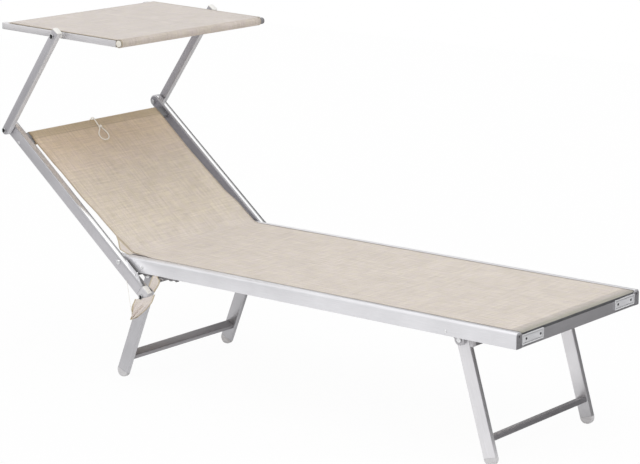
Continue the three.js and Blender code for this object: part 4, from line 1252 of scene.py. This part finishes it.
def slingLine():
    full, top, bend = slingShape["fullHalf"], slingShape["top"], slingShape["bend"]
    line = [(Vector((footX + x, 0, z)), full) for x, z in (*footCurl, (curlEnd, top))]
    seatLength = footX - hinge.x - bend + curlEnd
    for step in range(1, slingShape["seatSteps"] + 1):
        x = footX + curlEnd - seatLength * step / slingShape["seatSteps"]
        wide = smoothStep((x - hinge.x - slingShape["taperEnd"]) / slingShape["taper"])
        halves = tuple(half + (full - half) * wide for half in slingShape["rearHalves"])
        line.append((Vector((x, 0, top)), halves))
    seatRows = len(line)
    bendStart, rearHalves = line[-1]
    bendEnd = backPoint(0, bend, backOut(bend))
    corner = Vector((hinge.x + slingShape["bendOut"], 0, top))
    backStart = backHalf(bend)
    for step in range(1, slingShape["bendSteps"] + 1):
        t = step / (slingShape["bendSteps"] + 1)
        point = bendStart * (1 - t) ** 2 + corner * 2 * t * (1 - t) + bendEnd * t**2
        line.append((point, tuple(a + (b - a) * t for a, b in zip(rearHalves, backStart))))
    for step in range(slingShape["backSteps"] + 1):
        up = bend + (slingShape["backEnd"] - bend) * step / slingShape["backSteps"]
        line.append((backPoint(0, up, backOut(up)), backHalf(up)))
    for up, out in sleeveRoute:
        line.append((backPoint(0, up, out), sleeveHalves))
    return line, seatRows


slingRows, seatRows = slingLine()
# the rows of the bend and the backrest, with the first of the sleeve, where the back's dip runs out
backRows = len(slingRows) - len(sleeveRoute) - seatRows + 1
backTurnOnly = backMatrix.to_3x3()


def slingSurface(row, across, point, half):
    placed = Vector(point)
    placed.y = across * half
    bowed = 1 - across * across
    if row < seatRows:
        share = min(1, max(0, (footX - point.x) / slingShape["sagLength"]))
        placed.z -= slingShape["sag"] * math.sin(math.pi * share) * bowed
        footShare = max(0, 1 - (footX - point.x) / slingShape["footDipLength"])
        placed.z -= slingShape["footDip"] * footShare * (1 - across**8)
        crinkle = noise.noise(Vector((point.x * 9, across * 3, 3)))
        placed.z += slingShape["seatCrinkle"] * crinkle * (1 - across**4)
    elif row < seatRows + backRows:
        share = (row - seatRows) / backRows
        dip = slingShape["backDip"] * math.sin(math.pi * smoothStep(share)) * bowed
        crinkle = noise.noise(Vector((share * 6, across * 3, 8)))
        dip += slingShape["backCrinkle"] * crinkle * math.sin(math.pi * share)
        placed += backTurnOnly @ Vector((-dip, 0, 0))
    return placed


sling, slingAlong = cloth(
    "sling_cloth", slingRows, slingShape["columns"], slingShape["thickness"], slingSurface, slingCloth, None,
    ["seat_sling", "back_sling"],
)


# A strip of cloth between two edge lines, given as world points
stripShape = {"thickness": 0.0009, "columns": 8}


def strip(name, firstEdge, secondEdge):
    line = [((a + b) / 2, (a - b).length / 2) for a, b in zip(firstEdge, secondEdge)]

    def stripSurface(row, across, point, half):
        return firstEdge[row].lerp(secondEdge[row], (across + 1) / 2)

    made, _ = cloth(
        name, line, stripShape["columns"], stripShape["thickness"], stripSurface, tieCloth, None,
        [],
    )
    return made


# Turned-in corner of the sling, drawn from the backrest over the right rail at the hinge. Each edge has
# points on the backrest (across, up and out) and ends over the seat (behind the foot end, across and up).
cornerEdges = {
    "outer": (
        [(0.2766, 0.084, 0.0098), (0.2860, 0.062, 0.0098), (0.2985, 0.040, 0.0090), (0.2995, 0.030, 0.0096),
         (0.2880, 0.008, 0.0130)],
        (1.379, 0.275, 0.3966),
    ),
    "inner": (
        [(0.2758, 0.084, 0.0098), (0.2730, 0.060, 0.0102), (0.2705, 0.040, 0.0106), (0.2680, 0.025, 0.0108),
         (0.2640, 0.008, 0.0120)],
        (1.360, 0.262, 0.3958),
    ),
}
cornerLines = []
for points, (behind, across, high) in cornerEdges.values():
    places = [backPoint(right * y, up, out) for y, up, out in points]
    places.append(Vector((footX - behind, right * across, high)))
    cornerLines.append(smoothLine(places, 5))
cornerCloth = strip("sling_corner_cloth_right", *cornerLines)
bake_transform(cornerCloth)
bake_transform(sling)

# The canopy's cloth lies over the side bars and wraps the front tube, and a hem wraps the rear tube
canopyClothShape = {
    "thickness": 0.0011, "top": 0.0115, "sag": 0.0045, "rearX": -0.217, "columns": 44, "steps": 40,
    "crinkle": 0.0009,
    "toTube": 0.006,  # where the cloth leaves the flat, behind the front tube's centre
    # radius of its sleeve, half width there on the left, and the angles round the tube
    "sleeve": 0.0113, "sleeveLeft": 0.299, "sleeveFrom": 100, "sleeveStep": -14.4, "sleeveSteps": 23,
}
hemShape = {
    "thickness": 0.0009, "columns": 30, "radius": 0.0093, "drop": 0.0008, "inset": 0.0012,
    "from": 70, "step": 14, "steps": 25,
}


def onCanopy(centre, radius, degrees):
    angle = math.radians(degrees)
    x, z = centre[0] + radius * math.cos(angle), centre[1] + radius * math.sin(angle)
    return canopyMatrix @ Vector((x, 0, z))


def canopyLine():
    facts = canopyClothShape
    centre = canopyShape["frontX"], canopyShape["frontZ"]
    length = centre[0] - facts["toTube"] - facts["rearX"]
    line = []
    for step in range(facts["steps"] + 1):
        x = facts["rearX"] + length * step / facts["steps"]
        line.append((canopyMatrix @ Vector((x, 0, facts["top"])), canopyOuterY))
    for step in range(facts["sleeveSteps"]):
        place = onCanopy(centre, facts["sleeve"], facts["sleeveFrom"] + step * facts["sleeveStep"])
        line.append((place, (canopyOuterY, facts["sleeveLeft"])))
    return line


def canopySurface(row, across, point, half):
    placed = Vector(point)
    placed.y = across * half
    share = row / canopyClothShape["steps"]
    if share <= 1:
        arch = math.sin(math.pi * share)
        placed.z -= canopyClothShape["sag"] * arch * (1 - across * across)
        crinkle = noise.noise(Vector((share * 4, across * 4, 5)))
        placed.z += canopyClothShape["crinkle"] * crinkle * arch * (1 - across**6)
    return placed


def flatSurface(row, across, point, half):
    return Vector((point.x, across * half, point.z))


canopySheet, canopyAlong = cloth(
    "canopy_cloth", canopyLine(), canopyClothShape["columns"], canopyClothShape["thickness"], canopySurface,
    canopyCloth, "canopy", ["canopy_fabric"],
)
hemCentre = canopyShape["rearX"], canopyShape["rearZ"] - hemShape["drop"]
hemHalf = canopyInnerY - hemShape["inset"]
hemLine = [
    (onCanopy(hemCentre, hemShape["radius"], hemShape["from"] + step * hemShape["step"]), hemHalf)
    for step in reversed(range(hemShape["steps"]))
]
hem, _ = cloth(
    "canopy_rear_hem", hemLine, hemShape["columns"], hemShape["thickness"], flatSurface, canopyCloth,
    "canopy", [],
)
print("canopy cloth", round(canopyAlong[-1], 4), "long")

# Cloth ties: a flap that hangs outside the rail's lower end, a strap from under the seat to it, and a
# loose thread. Outlines are (forward of the foot end, up), routes (forward of the foot end, across, up).
flapShape = {
    "headEdge": [(-1.3120, 0.2790), (-1.3215, 0.2504), (-1.3243, 0.2180)],
    "footEdge": [
        (-1.2317, 0.3064), (-1.2429, 0.2804), (-1.2647, 0.2556), (-1.2998, 0.2254), (-1.3230, 0.2165),
    ],
    "rows": 26, "columns": 22, "thickness": 0.0009,
    "topSag": 0.0035, "fold": 0.0035, "crinkle": 0.0022,
    "outTop": 0.0019, "outMore": 0.0055,  # how far it stands off the rail, at the top and further down
}
strapShape = {
    "headEdge": [
        (-1.2700, 0.2900, 0.3490), (-1.2690, 0.3015, 0.3475), (-1.2740, 0.3050, 0.3340),
        (-1.2812, 0.3056, 0.3185),
    ],
    "footEdge": [
        (-1.2490, 0.2900, 0.3494), (-1.2480, 0.3015, 0.3489), (-1.2360, 0.3050, 0.3360),
        (-1.2578, 0.3056, 0.3024),
    ],
    "blendFrom": (-1.2600, 0.302, 0.348), "blendTo": (-1.2700, 0.302, 0.308),
}
threadShape = {
    "route": [(-1.3446, 0.3302, 0.3287), (-1.3370, 0.3318, 0.2960), (-1.3223, 0.3350, 0.2300)],
    "radius": 0.0006,
}


def alongLine(points, share):
    lengths = [math.dist(a, b) for a, b in zip(points, points[1:])]
    wanted = share * sum(lengths)
    for (a, b), length in zip(zip(points, points[1:]), lengths):
        if wanted <= length:
            return [p + (q - p) * wanted / length for p, q in zip(a, b)]
        wanted -= length
    return list(points[-1])


def flapEnds(row):
    share = row / flapShape["rows"]
    return share, alongLine(flapShape["headEdge"], share), alongLine(flapShape["footEdge"], share)


def clothFlap(side):
    line = []
    for row in range(flapShape["rows"] + 1):
        _, a, b = flapEnds(row)
        line.append((Vector(((a[0] + b[0]) / 2 + footX, 0, (a[1] + b[1]) / 2)), math.dist(a, b) / 2))

    def flapSurface(row, across, point, half):
        share, a, b = flapEnds(row)
        t = (across + 1) / 2
        if side == left:
            t = 1 - t
        x, z = a[0] + (b[0] - a[0]) * t, a[1] + (b[1] - a[1]) * t
        z -= flapShape["topSag"] * math.sin(math.pi * t) * (1 - share) ** 2
        fold = flapShape["fold"] * math.sin(t * 15 + share * 4.5 + 0.6) * smoothStep(share * 2.2)
        crinkle = noise.noise(Vector((t * 4, share * 5, side * 2.0)))
        fold += flapShape["crinkle"] * crinkle * smoothStep(share * 3)
        out = backOuterY + flapShape["outTop"] + flapShape["outMore"] * smoothStep(share * 1.8) + fold
        return Vector((x + footX, side * out, z))

    flap, _ = cloth(
        f"cloth_tie_flap_{sideNames[side]}", line, flapShape["columns"], flapShape["thickness"], flapSurface,
        tieCloth, "backrest", [f"cloth_tie_{sideNames[side]}"],
    )
    size = [2 * max(half for _, half in line), sum((b[0] - a[0]).length for a, b in zip(line, line[1:]))]
    return flap, size


def clothTie(side):
    def placed(x, y, z):
        return Vector((footX + x, side * y, z))

    flap, size = clothFlap(side)
    # the edges change places on the left, so that the strap's outer face stays outside
    edgeNames = ("headEdge", "footEdge") if side == right else ("footEdge", "headEdge")
    edges = [smoothLine([placed(*point) for point in strapShape[edge]], 6) for edge in edgeNames]
    strap = strip(f"cloth_strap_{sideNames[side]}", *edges)
    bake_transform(strap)
    threadLine = smoothLine([placed(*point) for point in threadShape["route"]], 8)
    thread = hose(f"cloth_tie_thread_{sideNames[side]}", threadLine, threadShape["radius"], 6)
    dress(thread, "backrest", cordWhite, rim=0, smooth=60)


for side in (right, left):
    clothTie(side)
print("cloth ties done")

# Floor: white to the camera but for the shadow, and in metal's mirror bright at the right, falling off
# past the head end and to the left
floorFacts = {
    "size": 12, "height": -0.0004, "colour": (0.86, 0.86, 0.86, 1), "whiteShare": 0.96,
    "headFall": (-2.6, -0.9, 0.42, 1.12), "leftFall": (0.1, 0.6, 1, 0.1), "footFall": (0.65, 1.2, 1, 0.1),
}
bpy.ops.object.select_all(action="DESELECT")
bpy.ops.mesh.primitive_plane_add(size=floorFacts["size"], location=(0, 0, floorFacts["height"]))
floor = bpy.context.object
floor.name = "studio_floor"
floorMaterial, tree, shader = startMaterial("floor_pale")
shader.inputs["Base Color"].default_value = floorFacts["colour"]
shader.inputs["Roughness"].default_value = 0.9
shader.inputs["Specular IOR Level"].default_value = 0.1
path = node(tree, "ShaderNodeLightPath")
seen = maths(tree, "MAXIMUM", path.outputs["Is Camera Ray"], path.outputs["Is Transmission Ray"])
glow = node(tree, "ShaderNodeEmission", None, Strength=1.0)
mixed = node(tree, "ShaderNodeMixShader", None, i0=maths(tree, "MULTIPLY", seen, floorFacts["whiteShare"]))
tree.links.new(shader.outputs[0], mixed.inputs[1])
tree.links.new(glow.outputs[0], mixed.inputs[2])
spot = node(tree, "ShaderNodeSeparateXYZ", None, Vector=node(tree, "ShaderNodeTexCoord").outputs["Object"])
headFall = remap(tree, spot.outputs["X"], *floorFacts["headFall"])
leftFall = remap(tree, spot.outputs["Y"], *floorFacts["leftFall"])
footFall = remap(tree, maths(tree, "ADD", spot.outputs["X"], spot.outputs["Y"]), *floorFacts["footFall"])
mirrored = maths(tree, "MULTIPLY", headFall, maths(tree, "MINIMUM", leftFall, footFall))
floorMirror = node(tree, "ShaderNodeEmission", None, Strength=mirrored)
shown = node(tree, "ShaderNodeMixShader", None, i0=path.outputs["Is Glossy Ray"])
tree.links.new(mixed.outputs[0], shown.inputs[1])
tree.links.new(floorMirror.outputs[0], shown.inputs[2])
tree.links.new(shown.outputs[0], tree.nodes["Material Output"].inputs["Surface"])
floor.data.materials.append(floorMaterial)

# World: white to the camera and level light on the object. Metal mirrors a dim low part beyond the foot
# end, a bright part above and beyond the head, a softbox at the right and a dark edge at the left.
studio = {
    "plain": (0.70, 0.92), "dim": 0.14, "bright": 1.25, "heights": (-0.1, 0.5), "slope": 0.45,
    "softbox": 0.85, "softboxSides": (0.2, 0.65), "leftDim": 0.06, "leftSides": (-0.80, -0.71),
}
world = bpy.data.worlds.new("studio")
bpy.context.scene.world = world
world.use_nodes = True
tree = world.node_tree
tree.nodes.clear()
path = node(tree, "ShaderNodeLightPath")
direction = node(tree, "ShaderNodeTexCoord").outputs["Generated"]
parts = node(tree, "ShaderNodeSeparateXYZ", None, Vector=direction)
toRight = maths(tree, "MULTIPLY", parts.outputs["Y"], -1)
towardsFoot = maths(tree, "MULTIPLY", parts.outputs["X"], studio["slope"])
height = maths(tree, "SUBTRACT", parts.outputs["Z"], towardsFoot)
sky = remap(tree, height, *studio["heights"], studio["dim"], studio["bright"])
sky = maths(tree, "MULTIPLY", sky, remap(tree, toRight, *studio["leftSides"], studio["leftDim"], 1))
softbox = remap(tree, toRight, *studio["softboxSides"], 0, studio["softbox"])
strengths = (remap(tree, toRight, -1, 1, *studio["plain"]), maths(tree, "MAXIMUM", sky, softbox), 1.0)
lit, mirror, white = (
    node(tree, "ShaderNodeBackground", None, Color=(1, 1, 1, 1), Strength=strength) for strength in strengths
)
first = node(tree, "ShaderNodeMixShader", None, i0=path.outputs["Is Glossy Ray"])
tree.links.new(lit.outputs[0], first.inputs[1])
tree.links.new(mirror.outputs[0], first.inputs[2])
direct = maths(tree, "MAXIMUM", path.outputs["Is Camera Ray"], path.outputs["Is Transmission Ray"])
second = node(tree, "ShaderNodeMixShader", None, i0=direct)
tree.links.new(first.outputs[0], second.inputs[1])
tree.links.new(white.outputs[0], second.inputs[2])
output = node(tree, "ShaderNodeOutputWorld")
tree.links.new(second.outputs[0], output.inputs["Surface"])

lamps = {
    "key_sun": {"from": (0.2, -0.35, 0.9), "strength": 0.5, "angle": 45},
    "top_sun": {"from": (0.4, 0.1, 0.9), "strength": 0.2, "angle": 60},
}
for name, facts in lamps.items():
    bpy.ops.object.light_add(type="SUN", location=[3 * value for value in facts["from"]])
    lamp = bpy.context.object
    lamp.name = name
    lamp.rotation_euler = Vector(facts["from"]).to_track_quat("Z", "Y").to_euler()
    lamp.data.energy = facts["strength"]
    lamp.data.angle = math.radians(facts["angle"])
bpy.context.scene.view_settings.view_transform = "Standard"
print("stage lit")
